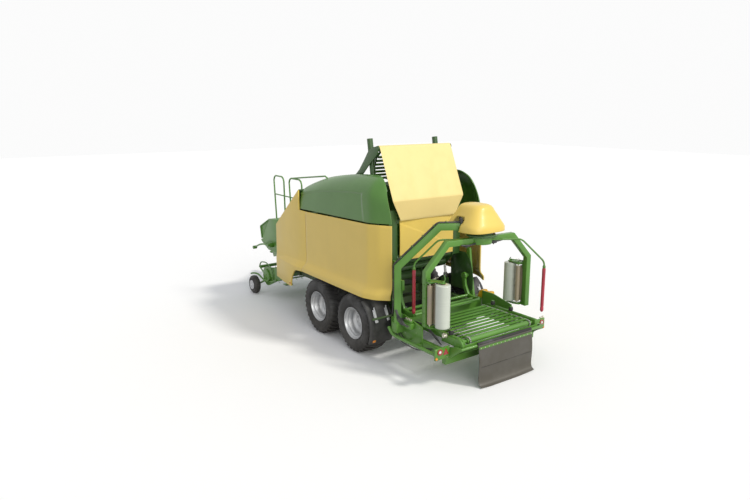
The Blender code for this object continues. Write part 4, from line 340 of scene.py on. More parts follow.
def softened(node, finish, width, segments=2, least=32):
    """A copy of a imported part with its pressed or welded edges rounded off."""
    bm = bmesh.new()
    bm.from_mesh(frame["nodes"][node].data)
    bmesh.ops.remove_doubles(bm, verts=bm.verts, dist=SAME_POINT)
    bmesh.ops.dissolve_limit(bm, angle_limit=math.radians(0.6), verts=bm.verts, edges=bm.edges)
    sharp = [edge for edge in bm.edges
             if len(edge.link_faces) == 2 and edge.calc_face_angle(0) > math.radians(least)]
    eased(bm, sharp, width, segments)
    bmesh.ops.triangulate(bm, faces=[face for face in bm.faces if len(face.verts) > 4])
    made = finished(node + "_skin", bm, finish, BODY_OF[node], recalc=False)
    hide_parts(node)


# Wheels: flotation tyres with a chevron tread on welded, deep-dished steel rims. The carcass
# and rim are turned; the lugs are cut flat, then rolled onto the crown.
REAR_AXLE = -1.8615
HUB_HEIGHT = 0.57
WHEEL_X = 1.20
WHEELS = {"rear_left": (-1, REAR_AXLE), "rear_right": (1, REAR_AXLE),
          "front_left": (-1, REAR_AXLE + 1.30), "front_right": (1, REAR_AXLE + 1.30)}
SIDES = {"left": -1, "right": 1}
CARCASS = ((0.2905, 0.186), (0.300, 0.206), (0.322, 0.217), (0.340, 0.228), (0.345, 0.2325),
           (0.352, 0.2345),
           (0.380, 0.2440), (0.415, 0.2490), (0.445, 0.2485), (0.450, 0.2500), (0.458, 0.2500),
           (0.463, 0.2475),
           (0.492, 0.2430), (0.512, 0.2340), (0.530, 0.2180), (0.541, 0.1900), (0.547, 0.1200),
           (0.549, 0.0400))
RIM_PAINT = metal("rim_paint", (0.50, 0.51, 0.52), 0.26, 0.82, dust=0.10, dust_top=1.3)
TREAD_PITCHES = 32
TREAD_ROLL_RADIUS = 0.555
LUG_LENGTH = 0.232
LUG_WIDTH = 0.050
LUG_DEPTH = 0.034
LUG_SINK = 0.014
LUG_LEAD = 0.52


def set_in(bm, made, place=Matrix.Identity(4)):
    """Put one small finished mesh into a larger one."""
    bmesh.ops.transform(made, matrix=place, verts=made.verts)
    mesh = bpy.data.meshes.new("setting")
    made.to_mesh(mesh)
    made.free()
    bm.from_mesh(mesh)
    bpy.data.meshes.remove(mesh)


def turned(bm, profile, place, steps=72, closed=False):
    """Spin (radius, height) points about Z, then set the axis where place says."""
    made = bmesh.new()
    points = [made.verts.new((radius, 0, height)) for radius, height in profile]
    edges = [made.edges.new(pair) for pair in zip(points, points[1:])]
    if closed:
        edges.append(made.edges.new((points[-1], points[0])))
    bmesh.ops.spin(made, geom=points + edges, cent=(0, 0, 0), axis=(0, 0, 1),
                   angle=2 * math.pi, steps=steps, use_merge=True)
    bmesh.ops.remove_doubles(made, verts=made.verts, dist=SAME_POINT)
    bmesh.ops.recalc_face_normals(made, faces=made.faces)
    set_in(bm, made, place)


def outward(side, x, y, z):
    """A place whose Z points out along X, to the right for a side of 1."""
    return Matrix.Translation((x, y, z)) @ Matrix.Rotation(side * math.pi / 2, 4, "Y")


def level_edges(bm):
    """The edges that lie at one height."""
    return [edge for edge in bm.edges if abs(edge.verts[0].co.z - edge.verts[1].co.z) < 0.00001]


def rod(bm, start, end, radius, end_radius=None, sides=20, round_end=0.0):
    """A round bar or post between two points."""
    start, end = Vector(start), Vector(end)
    made = bmesh.new()
    bmesh.ops.create_cone(made, cap_ends=True, segments=sides, radius1=radius,
                          radius2=radius if end_radius is None else end_radius, depth=(end - start).length)
    if round_end:
        eased(made, level_edges(made), round_end, 3)
    turn = (end - start).to_track_quat("Z", "Y").to_matrix().to_4x4()
    set_in(bm, made, Matrix.Translation((start + end) / 2) @ turn)


def block(bm, low, high, rounding=0.0, place=Matrix.Identity(4), segments=2):
    """A pressed or cast block between two corners, its edges rounded."""
    low, high = Vector(low), Vector(high)
    made = bmesh.new()
    size = [abs(b - a) for a, b in zip(low, high)]
    bmesh.ops.create_cube(made, size=1,
                          matrix=Matrix.Translation((low + high) / 2) @ Matrix.Diagonal((*size, 1)))
    if rounding:
        eased(made, made.edges[:], rounding, segments)
    set_in(bm, made, place)


def nut(bm, middle, along, size=0.014, height=0.012, stud=0.006):
    """A hexagon nut on the end of its stud."""
    middle, along = Vector(middle), Vector(along).normalized()
    rod(bm, middle, middle + along * height, size, size * 0.94, sides=6)
    if stud:
        rod(bm, middle, middle + along * (height + stud), size * 0.45, sides=8)


def crown(across):
    """Carcass radius at a distance from the tyre's middle."""
    across = abs(across)
    for (near_radius, near), (far_radius, far) in zip(CARCASS[::-1], CARCASS[-2::-1]):
        if across <= far:
            share = (across - near) / (far - near) if across > near else 0
            return near_radius + (far_radius - near_radius) * share
    return CARCASS[0][0]


lug_pitch = 2 * math.pi * TREAD_ROLL_RADIUS / TREAD_PITCHES
for label, (side, axle) in WHEELS.items():
    bm = bmesh.new()
    place = outward(1, side * WHEEL_X, axle, HUB_HEIGHT)
    ring = list(CARCASS) + [(radius, -across) for radius, across in reversed(CARCASS)]
    turned(bm, ring, Matrix.Identity(4), 72, closed=True)
    lugs = bmesh.new()
    for pitch in range(TREAD_PITCHES):
        for hand in (-1, 1):
            block(lugs, (0.006, -LUG_WIDTH / 2, -LUG_SINK),
                  (LUG_LENGTH, LUG_WIDTH / 2, LUG_DEPTH - LUG_SINK), 0.004,
                  Matrix.Translation((0, lug_pitch * (pitch + 0.25 * hand), 0)) @ Matrix.Diagonal((hand, 1,
                      1, 1)),
                  segments=1)
    for level in (0.05, 0.10, 0.15, 0.19, 0.212):
        for hand in (-1, 1):
            bmesh.ops.bisect_plane(lugs, geom=lugs.verts[:] + lugs.edges[:] + lugs.faces[:],
                                   plane_co=(hand * level, 0, 0), plane_no=(1, 0, 0))
    for point in lugs.verts:
        across, along, height = point.co
        turn = (along - abs(across) ** 1.15 * LUG_LEAD) / TREAD_ROLL_RADIUS
        radius = crown(min(abs(across), 0.226)) + height
        point.co = (radius * math.cos(turn), radius * math.sin(turn), across)
    set_in(bm, lugs)
    bmesh.ops.transform(bm, matrix=place, verts=bm.verts)
    tyre = finished("tyre_" + label + "_tread", bm, RUBBER, "wheel_" + label)
    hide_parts("tyre_" + label)

    bm = bmesh.new()
    face = outward(side, side * WHEEL_X, axle, HUB_HEIGHT)
    dish = [(0.3065, 0.2250), (0.3000, 0.2265), (0.2940, 0.2200), (0.2875, 0.1960), (0.2800, 0.1830),
            (0.2640, 0.1720), (0.2580, 0.1450), (0.2490, 0.1330), (0.2420, 0.1220), (0.2390, 0.0760),
            (0.2330, 0.0560), (0.2200, 0.0400), (0.2060, 0.0260), (0.1850, 0.0190), (0.1700, 0.0240),
            (0.1620, 0.0240), (0.1500, 0.0150), (0.1200, 0.0150), (0.1080, 0.0200), (0.1050, 0.0440),
            (0.0980, 0.0520), (0.0720, 0.0540), (0.0680, 0.0660), (0.0560, 0.0740), (0, 0.0760),
            (0, -0.004), (0.190, -0.004), (0.2240, 0.0240), (0.2280, 0.0500), (0.2390, -0.1150),
            (0.2760, -0.1500), (0.2820, -0.1860), (0.2960, -0.2265), (0.3065, -0.2250), (0.2895, -0.1920),
            (0.2895, -0.1520), (0.2510, -0.1200), (0.2510, 0.1150), (0.2700, 0.1420), (0.2895, 0.1560),
            (0.2895, 0.1920)]
    turned(bm, dish, face, 72, closed=True)
    for i in range(10):
        turn = face @ Matrix.Rotation(math.tau * i / 10, 4, "Z")
        nut(bm, turn @ Vector((0.1350, 0, 0.014)), turn.to_3x3() @ Vector((0, 0, 1)), 0.0155, 0.018, 0.012)
    rod(bm, face @ Vector((0.268, 0, 0.168)), face @ Vector((0.262, 0, 0.205)), 0.005, sides=8)
    rim = finished("rim_" + label + "_dished", bm, RIM_PAINT, "wheel_" + label)
    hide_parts("rim_" + label)


# Side doors and front panels: glass-fibre skins, gel-coated cream, with a flared skirt that
# is drawn in at the rear corner. Each door is one formed sheet, given its thickness and a rounded edge.
DOOR_THICK = 0.024
DOOR_FACE = 1.30
DOOR_FLARE = 0.12
DOOR_CREASE = 1.33
DOOR_STATIONS = ((1.956, 0.0, 2.430, 1.165, 0.0), (1.30, 0.0, 2.448, 1.160, 0.0),
                 (0.60, 0.0, 2.468, 1.152, 0.0),
                 (-0.10, 0.0, 2.486, 1.146, 0.0), (-0.31, 0.0, 2.490, 1.145, 0.0),
                 (-0.37, 0.014, 2.492, 1.145, 0.0),
                 (-0.56, 0.062, 2.499, 1.145, 0.0), (-0.62, 0.096, 2.500, 1.148, 0.004),
                 (-0.76, 0.182, 2.500, 1.160, 0.020), (-0.787, 0.200, 2.500, 1.165, 0.030))
DOOR_SECTION = ((0.0, 1.0), (0.0, 0.5), (0.0, 0.06), (0.012, 0.0), (0.108, -0.42), (0.120, -0.62),
                (0.120, -1.0))


def baked(thing):
    """The mesh that an object's modifiers, or a curve's settings, make of it."""
    bpy.context.view_layer.update()
    return bpy.data.meshes.new_from_object(thing.evaluated_get(bpy.context.evaluated_depsgraph_get()))


def formed(rows, levels, shape=None):
    """A sheet pressed through rows of points, made fine and smooth, then shaped point by point."""
    columns = len(rows[0])
    bm = bmesh.new()
    bmesh.ops.create_grid(bm, x_segments=columns - 1, y_segments=len(rows) - 1, size=1)
    ordered = sorted(bm.verts, key=lambda point: (round(point.co.y, 5), round(point.co.x, 5)))
    for i, point in enumerate(ordered):
        point.co = rows[i // columns][i % columns]
    mesh = bpy.data.meshes.new("form")
    bm.to_mesh(mesh)
    bm.free()
    sheet = placed("form", mesh)
    smooth = sheet.modifiers.new("smooth", "SUBSURF")
    smooth.levels = levels
    smooth.render_levels = levels
    smooth.boundary_smooth = "PRESERVE_CORNERS"
    fine = baked(sheet)
    bpy.data.objects.remove(sheet)
    bm = bmesh.new()
    bm.from_mesh(fine)
    if shape:
        for point in bm.verts:
            point.co = shape(point.co)
    return bm


def walled(piece, thickness, edge=0.004, offset=0.0):
    """Give a formed sheet its thickness and a rounded edge."""
    wall = piece.modifiers.new("wall", "SOLIDIFY")
    wall.thickness = thickness
    wall.offset = offset
    wall.use_even_offset = True
    rounded = piece.modifiers.new("edge", "BEVEL")
    rounded.width = edge
    rounded.segments = 2
    rounded.limit_method = "ANGLE"
    rounded.angle_limit = math.radians(50)


for label, side in SIDES.items():
    rows = []
    for along, drawn, top, foot, sweep in DOOR_STATIONS:
        row = []
        for flare, up in DOOR_SECTION:
            height = DOOR_CREASE + (top - DOOR_CREASE if up >= 0 else DOOR_CREASE - foot) * up
            out = DOOR_FACE - DOOR_THICK / 2 - drawn + flare * (1 - drawn * 2.2)
            back = sweep * (flare / DOOR_FLARE) * 1.4
            row.append((side * out, REAR_AXLE + along - back, height))
        rows.append(row)
    door = finished("side_door_skin_" + label, formed(rows, 3), CREAM, "side_door_" + label,
                    60)
    walled(door, DOOR_THICK)
    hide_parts("side_panel_" + label)
    softened("front_panel_" + label, CREAM, 0.005, 3, 20)


# Green covers: one moulding each side, arched along the chamber with a rolled shoulder and a
# shallow field pressed into its side.
COVER_STATIONS = ((0.0, 0.0, 0.56), (0.05, 0.0, 0.62), (0.10, 0.0, 0.67), (0.18, 0.0, 0.745),
                  (0.26, 0.0, 0.81),
                  (0.40, 0.0, 0.885), (0.56, 0.0, 0.955), (0.70, 0.0, 0.99), (0.80, 0.0, 1.0),
                  (0.85, 0.03, 0.995),
                  (0.875, 0.10, 0.98), (0.90, 0.24, 0.955), (0.94, 0.52, 0.90), (0.97, 0.75, 0.83),
                  (1.0, 0.95, 0.71))
COVER_FRONT = REAR_AXLE + 2.22
COVER_REAR = REAR_AXLE - 0.77
COVER_FOOT = (2.456, 2.526)
COVER_TOP = 3.325
COVER_FACE = 1.270
COVER_INNER = 0.95
COVER_SECTION = ((0.0, 0.0), (0.005, 0.20), (0.01, 0.42), (0.03, 0.58), (0.16, 0.71), (0.38, 0.84),
                 (0.70, 0.955), (1.0, 1.0))
REAR_LEAN = 0.20
LEAN_FROM = 0.80
FIELD_DEPTH = 0.030
FIELD_EDGE = 0.045


def clamped(value):
    """A value kept between 0 and 1."""
    return max(0.0, min(1.0, value))


def cover_height(share):
    """The cover's height at a share of its length, of its full height."""
    for (first, _, low), (last, _, high) in zip(COVER_STATIONS, COVER_STATIONS[1:]):
        if share <= last:
            return low + (high - low) * (share - first) / (last - first)
    return COVER_STATIONS[-1][2]


def press_field(side):
    """Push the side's field in where the moulding has it."""
    def shape(point):
        share = (COVER_FRONT - point.y) / (COVER_FRONT - COVER_REAR)
        foot = COVER_FOOT[0] + (COVER_FOOT[1] - COVER_FOOT[0]) * share
        rise = (COVER_TOP - foot) * cover_height(share)
        top_edge = foot + rise * 0.62 - point.z
        rear_edge = (LEAN_FROM - share) * (COVER_FRONT - COVER_REAR) - (point.z - foot) * 0.18
        inside = min(top_edge, rear_edge)
        sunk = clamped(inside / FIELD_EDGE + 0.5)
        sunk = sunk * sunk * (3 - 2 * sunk)
        deep = FIELD_DEPTH * (0.25 + 0.75 * max(0.0, point.z - foot) / (rise * 0.62))
        return Vector((point.x - side * deep * sunk, point.y, point.z))
    return shape


for label, side in SIDES.items():
    rows = []
    for share, draw, height in COVER_STATIONS:
        along = COVER_FRONT + (COVER_REAR - COVER_FRONT) * share
        foot = COVER_FOOT[0] + (COVER_FOOT[1] - COVER_FOOT[0]) * share
        rise = (COVER_TOP - foot) * height
        out = COVER_FACE - 0.20 * draw
        width = out - COVER_INNER - 0.085 * draw
        lean = REAR_LEAN * max(0.0, (share - LEAN_FROM) / 0.20)
        rows.append([(side * (out - width * inward), along + lean * up ** 1.5, foot + rise * up)
                     for inward, up in COVER_SECTION])
    cover = finished("green_cover_" + label, formed(rows, 3, press_field(side)), COVER_GREEN, "chassis",
                     60)
    walled(cover, 0.018)
    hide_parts("top_cover_" + label)


# Hood over the rotor's drive: a cream cap, formed in one with soft corners, open below and
# cut away on the left front where the gantry and its hoses go in.
ROTOR = Vector((0, REAR_AXLE - 1.87, 0))
HOOD = ROTOR + Vector((0.035, 0.165, 0))
HOOD_RINGS = ((2.461, 0.425, 0.435, 3.6), (2.480, 0.427, 0.437, 3.6), (2.530, 0.424, 0.434, 3.6),
              (2.565, 0.414, 0.424, 3.5),
              (2.600, 0.394, 0.406, 3.4), (2.660, 0.358, 0.376, 3.3), (2.730, 0.314, 0.342, 3.2),
              (2.800, 0.268, 0.304, 3.1),
              (2.850, 0.236, 0.288, 3.0), (2.886, 0.204, 0.262, 2.9), (2.906, 0.160, 0.222, 2.8),
              (2.914, 0.110, 0.170, 2.6),
              (2.9165, 0.050, 0.080, 2.4))
GANTRY_FOOT = Vector((-1.20, REAR_AXLE - 1.10, 0))
GANTRY_TOP = 2.545
HOOD_POINTS = 72

made = bmesh.new()
loops = []
for height, half_x, half_y, squareness in HOOD_RINGS:
    ring = bmesh.ops.create_circle(made, segments=HOOD_POINTS, radius=1)["verts"]
    for point in ring:
        turn = math.atan2(point.co.y, point.co.x)
        across, along = math.cos(turn), math.sin(turn)
        reach = (abs(across) ** squareness + abs(along) ** squareness) ** (-1 / squareness)
        point.co = HOOD + Vector((across * reach * half_x, along * reach * half_y, height))
    loops.append([edge for edge in made.edges if all(end in ring for end in edge.verts)])
for loop, following in zip(loops, loops[1:]):
    bmesh.ops.bridge_loops(made, edges=loop + following)
bmesh.ops.contextual_create(made, geom=loops[-1])
hood = finished("rotor_hood_cap", made, CREAM, "chassis", 50)
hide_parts("rotor_hood")
walled(hood, 0.014, 0.003, -1.0)
inward = (ROTOR - GANTRY_FOOT).normalized()
cutter_mesh = bmesh.new()
cut_turn = Matrix.Rotation(math.atan2(inward.y, inward.x), 4, "Z")
block(cutter_mesh, (-0.80, -0.11, -0.100), (-0.20, 0.11, 0.165), 0.060,
      Matrix.Translation(ROTOR + Vector((0, 0, GANTRY_TOP))) @ cut_turn, segments=4)
cutter_data = bpy.data.meshes.new("hood_cut")
bmesh.ops.recalc_face_normals(cutter_mesh, faces=cutter_mesh.faces)
cutter_mesh.to_mesh(cutter_data)
cutter_mesh.free()
cutter = placed("hood_cut", cutter_data)
opening = hood.modifiers.new("opening", "BOOLEAN")
opening.object = cutter
opening.solver = "EXACT"
cut = baked(hood)
hood.modifiers.clear()
hood.data = cut
bpy.data.objects.remove(cutter)
# A black rubber block just inside the cut hides the hood's lit cream inside. It is painted shade: a dark sheet
# standing for the shadow in there.
bm = bmesh.new()
block(bm, (-0.365, -0.100, -0.085), (-0.330, 0.100, 0.150), 0.012,
      Matrix.Translation(ROTOR + Vector((0, 0, GANTRY_TOP))) @ cut_turn)
finished("rotor_hood_painted_shade_lining", bm, RUBBER, "chassis")


# Rotor: a square-tube arm each side of the hub, mitred at shoulder and elbow. On each arm a
# film stretcher, its roll of film and a red safety bar that stops the rotor when it is pushed.
ARM_REST = math.radians(4.6)
FILM_RADIUS = 0.125
FILM_CORE = 0.038
FILM_FOOT = 0.985
FILM_HEIGHT = 0.75
FILM_OUT = 1.00
FILM_SWING = 0.30
ROLLER_SWING = 0.1043
ROLLER_OUTS = (1.12, 1.012)
BAR_RADIUS = 1.14
BAR_LEAD = math.radians(29)


def around(radius, angle, height):
    """A place on the rotor, angles from where its near arm parks."""
    turn = math.pi - ARM_REST + angle
    return ROTOR + Vector((radius * math.cos(turn), radius * math.sin(turn), height))


def axes(x, y, z):
    """The turn that lays a thing's own axes along these directions."""
    return Matrix((x, y, z)).transposed().to_4x4()


def laid(place, *points):
    """Points given in a place's own axes."""
    return [place @ Vector(point) for point in points]


def tube(bm, points, radius, corner=0.03, sides=12, steps=5):
    """A pipe or hose through points, its corners bent to a radius."""
    points = [Vector(point) for point in points]
    path = [points[0]]
    for before, point, after in zip(points, points[1:], points[2:]):
        first = (before - point).normalized() * min(corner, (before - point).length * 0.48)
        last = (after - point).normalized() * min(corner, (after - point).length * 0.48)
        for i in range(steps + 1):
            share = i / steps
            path.append(point + first * (1 - share) ** 2 + last * share ** 2)
    path.append(points[-1])
    line = bpy.data.curves.new("line", "CURVE")
    line.dimensions = "3D"
    line.bevel_depth = radius
    line.bevel_resolution = max(0, sides // 4 - 1)
    line.use_fill_caps = True
    spline = line.splines.new("POLY")
    spline.points.add(len(path) - 1)
    for target, point in zip(spline.points, path):
        target.co = (*point, 1)
    holder = placed("line", line)
    mesh = baked(holder)
    bpy.data.objects.remove(holder)
    made = bmesh.new()
    made.from_mesh(mesh)
    bmesh.ops.remove_doubles(made, verts=made.verts, dist=SAME_POINT)
    bmesh.ops.recalc_face_normals(made, faces=made.faces)
    set_in(bm, made)


def plate(bm, outline, thickness, place=Matrix.Identity(4), rounding=0.0, corner=0.0):
    """A flat plate cut to an outline, its corners radiused and its edges eased."""
    made = bmesh.new()
    face = made.faces.new([made.verts.new((x, y, 0)) for x, y in outline])
    if corner:
        eased(made, made.verts[:], corner, 4, "VERTICES")
    grown = bmesh.ops.extrude_face_region(made, geom=made.faces[:])
    bmesh.ops.translate(made, verts=[item for item in grown["geom"] if isinstance(item,
        bmesh.types.BMVert)],
                        vec=(0, 0, thickness))
    bmesh.ops.recalc_face_normals(made, faces=made.faces)
    if rounding:
        eased(made, level_edges(made), rounding)
    set_in(bm, made, place)


def coil(bm, start, end, radius, wire, turns):
    """A wound spring between two points."""
    start, end = Vector(start), Vector(end)
    frame_turn = (end - start).to_track_quat("Z", "Y").to_matrix()
    steps = int(turns * 10)
    points = []
    for i in range(steps + 1):
        angle = math.tau * turns * i / steps
        points.append(start + frame_turn @ Vector((radius * math.cos(angle), radius * math.sin(angle),
                                                   (end - start).length * i / steps)))
    tube(bm, points, wire, 0.0001, 6, 1)


film = Finish("white_film", (0.60, 0.64, 0.55), 0.30, coat=0.5)
bands = film.noise(5.0, 5.0, (0.4, 0.4, 26.0))
wraps = film.noise(3.0, 3.0, (1.0, 1.0, 0.7))
film.feed("Base Color", film.blend((bands * 0.7 + wraps * 0.5 - 0.2).held(), (0.50, 0.55, 0.46),
                                   (0.72, 0.75, 0.67)))
film.feed("Roughness", (0.22 + bands * 0.25).held())
film.bump(bands, 0.0012, 0.7)
FILM = film.material
CARD = moulded("card_core", (0.30, 0.20, 0.11), 0.8, 60.0, dust=0.0, worn=0.2)
GRIP = moulded("stretch_rollers", (0.40, 0.33, 0.22), 0.42, 120.0, dust=0.0, worn=0.4)

for label, at in (("near", 0.0), ("far", math.pi)):
    radial = (around(1, at, 0) - around(0, at, 0)).normalized()
    swing = (around(1, at + math.pi / 2, 0) - around(0, at, 0)).normalized()
    place = Matrix.Translation(ROTOR) @ axes(radial, swing, (0, 0, 1))
    stem = place @ Matrix.Translation((FILM_OUT, FILM_SWING, FILM_FOOT))

    bm = bmesh.new()
    wound = FILM_RADIUS if label == "near" else FILM_RADIUS * 0.93
    edge = [(wound - 0.030, 0.006), (wound - 0.012, 0.009), (wound - 0.004, 0.013), (wound - 0.0008, 0.020)]
    side_wall = [(wound - 0.0006 * (i % 2) - 0.0004 * (i % 3), 0.035 + 0.034 * i) for i in range(21)]
    profile = ([(FILM_CORE + 0.004, 0.004)] + edge + side_wall
               + [(radius, FILM_HEIGHT - up) for radius,
                  up in reversed(edge)] + [(FILM_CORE + 0.004, FILM_HEIGHT - 0.004)])
    turned(bm, profile, stem, 64, closed=True)
    roll = finished("film_roll_%s_wound" % label, bm, FILM, "film_" + label, 40)
    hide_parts("film_roll_" + label)
    bm = bmesh.new()
    core = [(FILM_CORE + 0.0035, 0.0), (FILM_CORE + 0.0035, FILM_HEIGHT), (FILM_CORE - 0.003, FILM_HEIGHT),
            (FILM_CORE - 0.003, 0.0)]
    turned(bm, core, stem, 40, closed=True)
    finished("film_core_" + label, bm, CARD, "film_" + label, 40)

    bm = bmesh.new()
    low, high = FILM_FOOT - 0.032, FILM_FOOT + FILM_HEIGHT + 0.012
    outline = ((1.172, 0.0505), (1.02, 0.0505), (0.962, 0.16), (0.958, 0.338), (1.04, 0.340),
               (1.080, 0.200), (1.172, 0.15))
    for level in (low, high):
        plate(bm, outline, 0.010, place @ Matrix.Translation((0, 0, level)), 0.0015, 0.018)
    block(bm, (1.065, 0.052, low), (1.168, 0.060, low + 0.05), 0.003, place)
    block(bm, (1.068, 0.052, high - 0.11), (1.168, 0.062, high + 0.010), 0.003, place)
    block(bm, (0.978, 0.068, high - 0.030), (1.160, 0.142, high - 0.001), 0.008, place)
    block(bm, (0.978, 0.068, low + 0.010), (1.160, 0.142, low + 0.028), 0.006, place)
    turned(bm, [(0, -0.016), (0.023, -0.016), (0.026, 0.0), (0.026, 0.004), (0, 0.004)],
           stem @ Matrix.Translation(
        (0, 0, -0.006)), 24)
    turned(bm, [(0, 0.0), (0.026, 0.0), (0.030, 0.014), (0.016, 0.030), (0.016, 0.050), (0, 0.050)],
           stem @ Matrix.Translation((0, 0, FILM_HEIGHT + 0.001)), 24)
    tube(bm, laid(place, (0.998, 0.300, high + 0.030), (1.06, 0.16, high + 0.030),
                  (1.150, 0.060, high + 0.026)),
         0.009, 0.03, 10)
    rod(bm, *laid(place, (1.150, 0.066, high), (1.150, 0.066, high + 0.055)), 0.012, sides=14)
    tube(bm, laid(place, (0.985, 0.31, high + 0.02), (0.93, 0.26, high + 0.055), (0.90, 0.19, high + 0.10)),
         0.007, 0.02, 8)
    for out in ROLLER_OUTS:
        nut(bm, place @ Vector((out, ROLLER_SWING, high + 0.010)), (0, 0, 1), 0.013, 0.010, 0.010)
    for up in (0.020, 0.20, 0.46, 0.70):
        nut(bm, place @ Vector((1.171, 0.010, FILM_FOOT + up)), radial, 0.011, 0.008, 0.005)
    stretcher = finished("film_stretcher_%s_body" % label, bm, GREEN, "rotor")
    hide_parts("film_stretcher_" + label)
    bm = bmesh.new()
    for out, turns in ((1.060, 9), (1.105, 7)):
        coil(bm, *laid(place, (out, 0.10, high + 0.020), (out - 0.075, 0.150, high + 0.066)), 0.008, 0.0018,
             turns)
    for out in ROLLER_OUTS:
        rod(bm, *laid(place, (out, ROLLER_SWING, low + 0.010), (out, ROLLER_SWING, high + 0.003)), 0.014,
            sides=16)
    finished("film_springs_" + label, bm, ZINC, "rotor")
    bm = bmesh.new()
    for out in ROLLER_OUTS:
        ribs = [(0.014, 0.0), (0.040, 0.0), (0.044, 0.004)]
        ribs += [(0.0445 if i % 2 else 0.0425, 0.010 + 0.0125 * i) for i in range(52)]
        ribs += [(0.044, 0.662), (0.040, 0.666), (0.014, 0.666)]
        turned(bm, ribs, place @ Matrix.Translation((out, ROLLER_SWING, FILM_FOOT + 0.034)), 28,
               closed=True)
    finished("stretch_rollers_" + label, bm, GRIP, "rotor", 25)

    bm = bmesh.new()
    tube(bm, [around(0.16, at - BAR_LEAD, 2.31), around(0.72, at - BAR_LEAD, 2.31),
              around(BAR_RADIUS, at - BAR_LEAD, 1.90), around(BAR_RADIUS, at - BAR_LEAD, 1.76)], 0.0155,
         0.07, 16)
    turned(bm, [(0, 0), (0.024, 0), (0.027, 0.006), (0.027, 0.030), (0.019, 0.044), (0.0155, 0.044)],
           Matrix.Translation(around(BAR_RADIUS, at - BAR_LEAD, 1.79)), 20)
    finished("safety_bar_%s_carrier" % label, bm, GREEN, "rotor")
    bm = bmesh.new()
    sleeve = [(0, 0.0), (0.016, 0.0), (0.019, 0.004), (0.019, 0.014), (0.028, 0.018), (0.031, 0.024),
              (0.0315, 0.075),
              (0.0285, 0.080), (0.0285, 0.110), (0.0305, 0.115), (0.0305, 0.700), (0.0315, 0.705),
              (0.0315, 0.770),
              (0.028, 0.785), (0.028, 0.796), (0, 0.796)]
    turned(bm, sleeve, Matrix.Translation(around(BAR_RADIUS, at - BAR_LEAD, 0.99)), 32)
    bar = finished("safety_bar_%s_sleeve" % label, bm, RED, "rotor")
    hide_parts("safety_bar_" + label)


# Hub under the hood: the turning head, its chain ring, a hose union and the cut-and-hold
# arms' pivots; cast and machined, bolted up below the gantry beam.
bm = bmesh.new()
turned(bm, [(0, 2.385), (0.255, 2.385), (0.262, 2.392), (0.262, 2.410), (0.255, 2.417), (0.215, 2.417),
            (0.205, 2.440),
            (0.150, 2.448), (0, 2.448)], Matrix.Translation(ROTOR), 60)
for i in range(12):
    spin_at = ROTOR + Vector((0.236 * math.cos(math.tau * i / 12), 0.236 * math.sin(math.tau * i / 12),
                              2.385))
    nut(bm, spin_at, (0, 0, -1), 0.011, 0.010, 0.004)
finished("rotor_head_ring", bm, DARK_GREEN, "rotor")
bm = bmesh.new()
for at in (0.0, math.pi):
    across = (around(1, at + math.pi / 2, 0) - ROTOR).normalized()
    for shift, drop in ((0.085, 2.255), (-0.085, 2.262)):
        tube(bm, [around(0.10, at, drop + 0.03) + across * shift, around(0.30, at, drop) + across * shift,
                  around(0.46, at, drop + 0.01) + across * shift * 0.7], 0.014, 0.04, 10)
    block(bm, (-0.05, -0.035, 0), (0.05, 0.035, 0.045), 0.006, Matrix.Translation(around(0.30, at, 2.215)))
    nut(bm, around(0.30, at, 2.215), (0, 0, -1), 0.016, 0.012, 0.012)
finished("rotor_hydraulics", bm, HOSE, "rotor")


# Wrapping table: two side members with a slat conveyor between them. Formed slats with
# serrated grips run on roller chains round two shafts; rubber cones steer the bale.
TABLE_FRONT = REAR_AXLE - 1.24
TABLE_REAR = REAR_AXLE - 2.455
TABLE_TOP = 0.845
CHAIN_X = 0.72
SHAFT_Z = 0.790
FRONT_SHAFT = TABLE_FRONT - 0.055
REAR_SHAFT = TABLE_REAR + 0.065
CHAIN_LOOP = 0.062
GUIDE_PLACES = ((-1, 0.38), (-1, 0.74), (1, 0.12), (1, 0.50))


def link_chain(bm, front, rear, radius, across, pitch=0.031, width=0.016):
    """A roller chain round two shafts: rollers on their pins, with side plates link by link."""
    front, rear = Vector(front), Vector(rear)
    straight = (front - rear).length
    whole = 2 * straight + math.tau * radius
    links = round(whole / pitch / 2) * 2
    along = (front - rear).normalized()
    up = Vector((0, 0, 1))
    places = []
    for i in range(links):
        reach = whole * i / links
        if reach < straight:
            places.append(rear + along * reach + up * radius)
        elif reach < straight + math.pi * radius:
            turn = (reach - straight) / radius
            places.append(front + along * radius * math.sin(turn) + up * radius * math.cos(turn))
        elif reach < 2 * straight + math.pi * radius:
            places.append(front - along * (reach - straight - math.pi * radius) - up * radius)
        else:
            turn = (reach - 2 * straight - math.pi * radius) / radius
            places.append(rear - along * radius * math.sin(turn) - up * radius * math.cos(turn))
    for i, (point, following) in enumerate(zip(places, places[1:] + places[:1])):
        rod(bm, point - across * width * 0.8, point + across * width * 0.8, 0.0075, sides=8)
        middle = (point + following) / 2
        lie = following - point
        turn = axes(across, lie.normalized(), across.cross(lie.normalized()))
        out = width * (0.5 if i % 2 else 0.68)
        for hand in (-1, 1):
            block(bm, (hand * out - 0.0012, -lie.length * 0.66, -0.0085),
                  (hand * out + 0.0012, lie.length * 0.66, 0.0085),
                  0.0, Matrix.Translation(middle) @ turn)


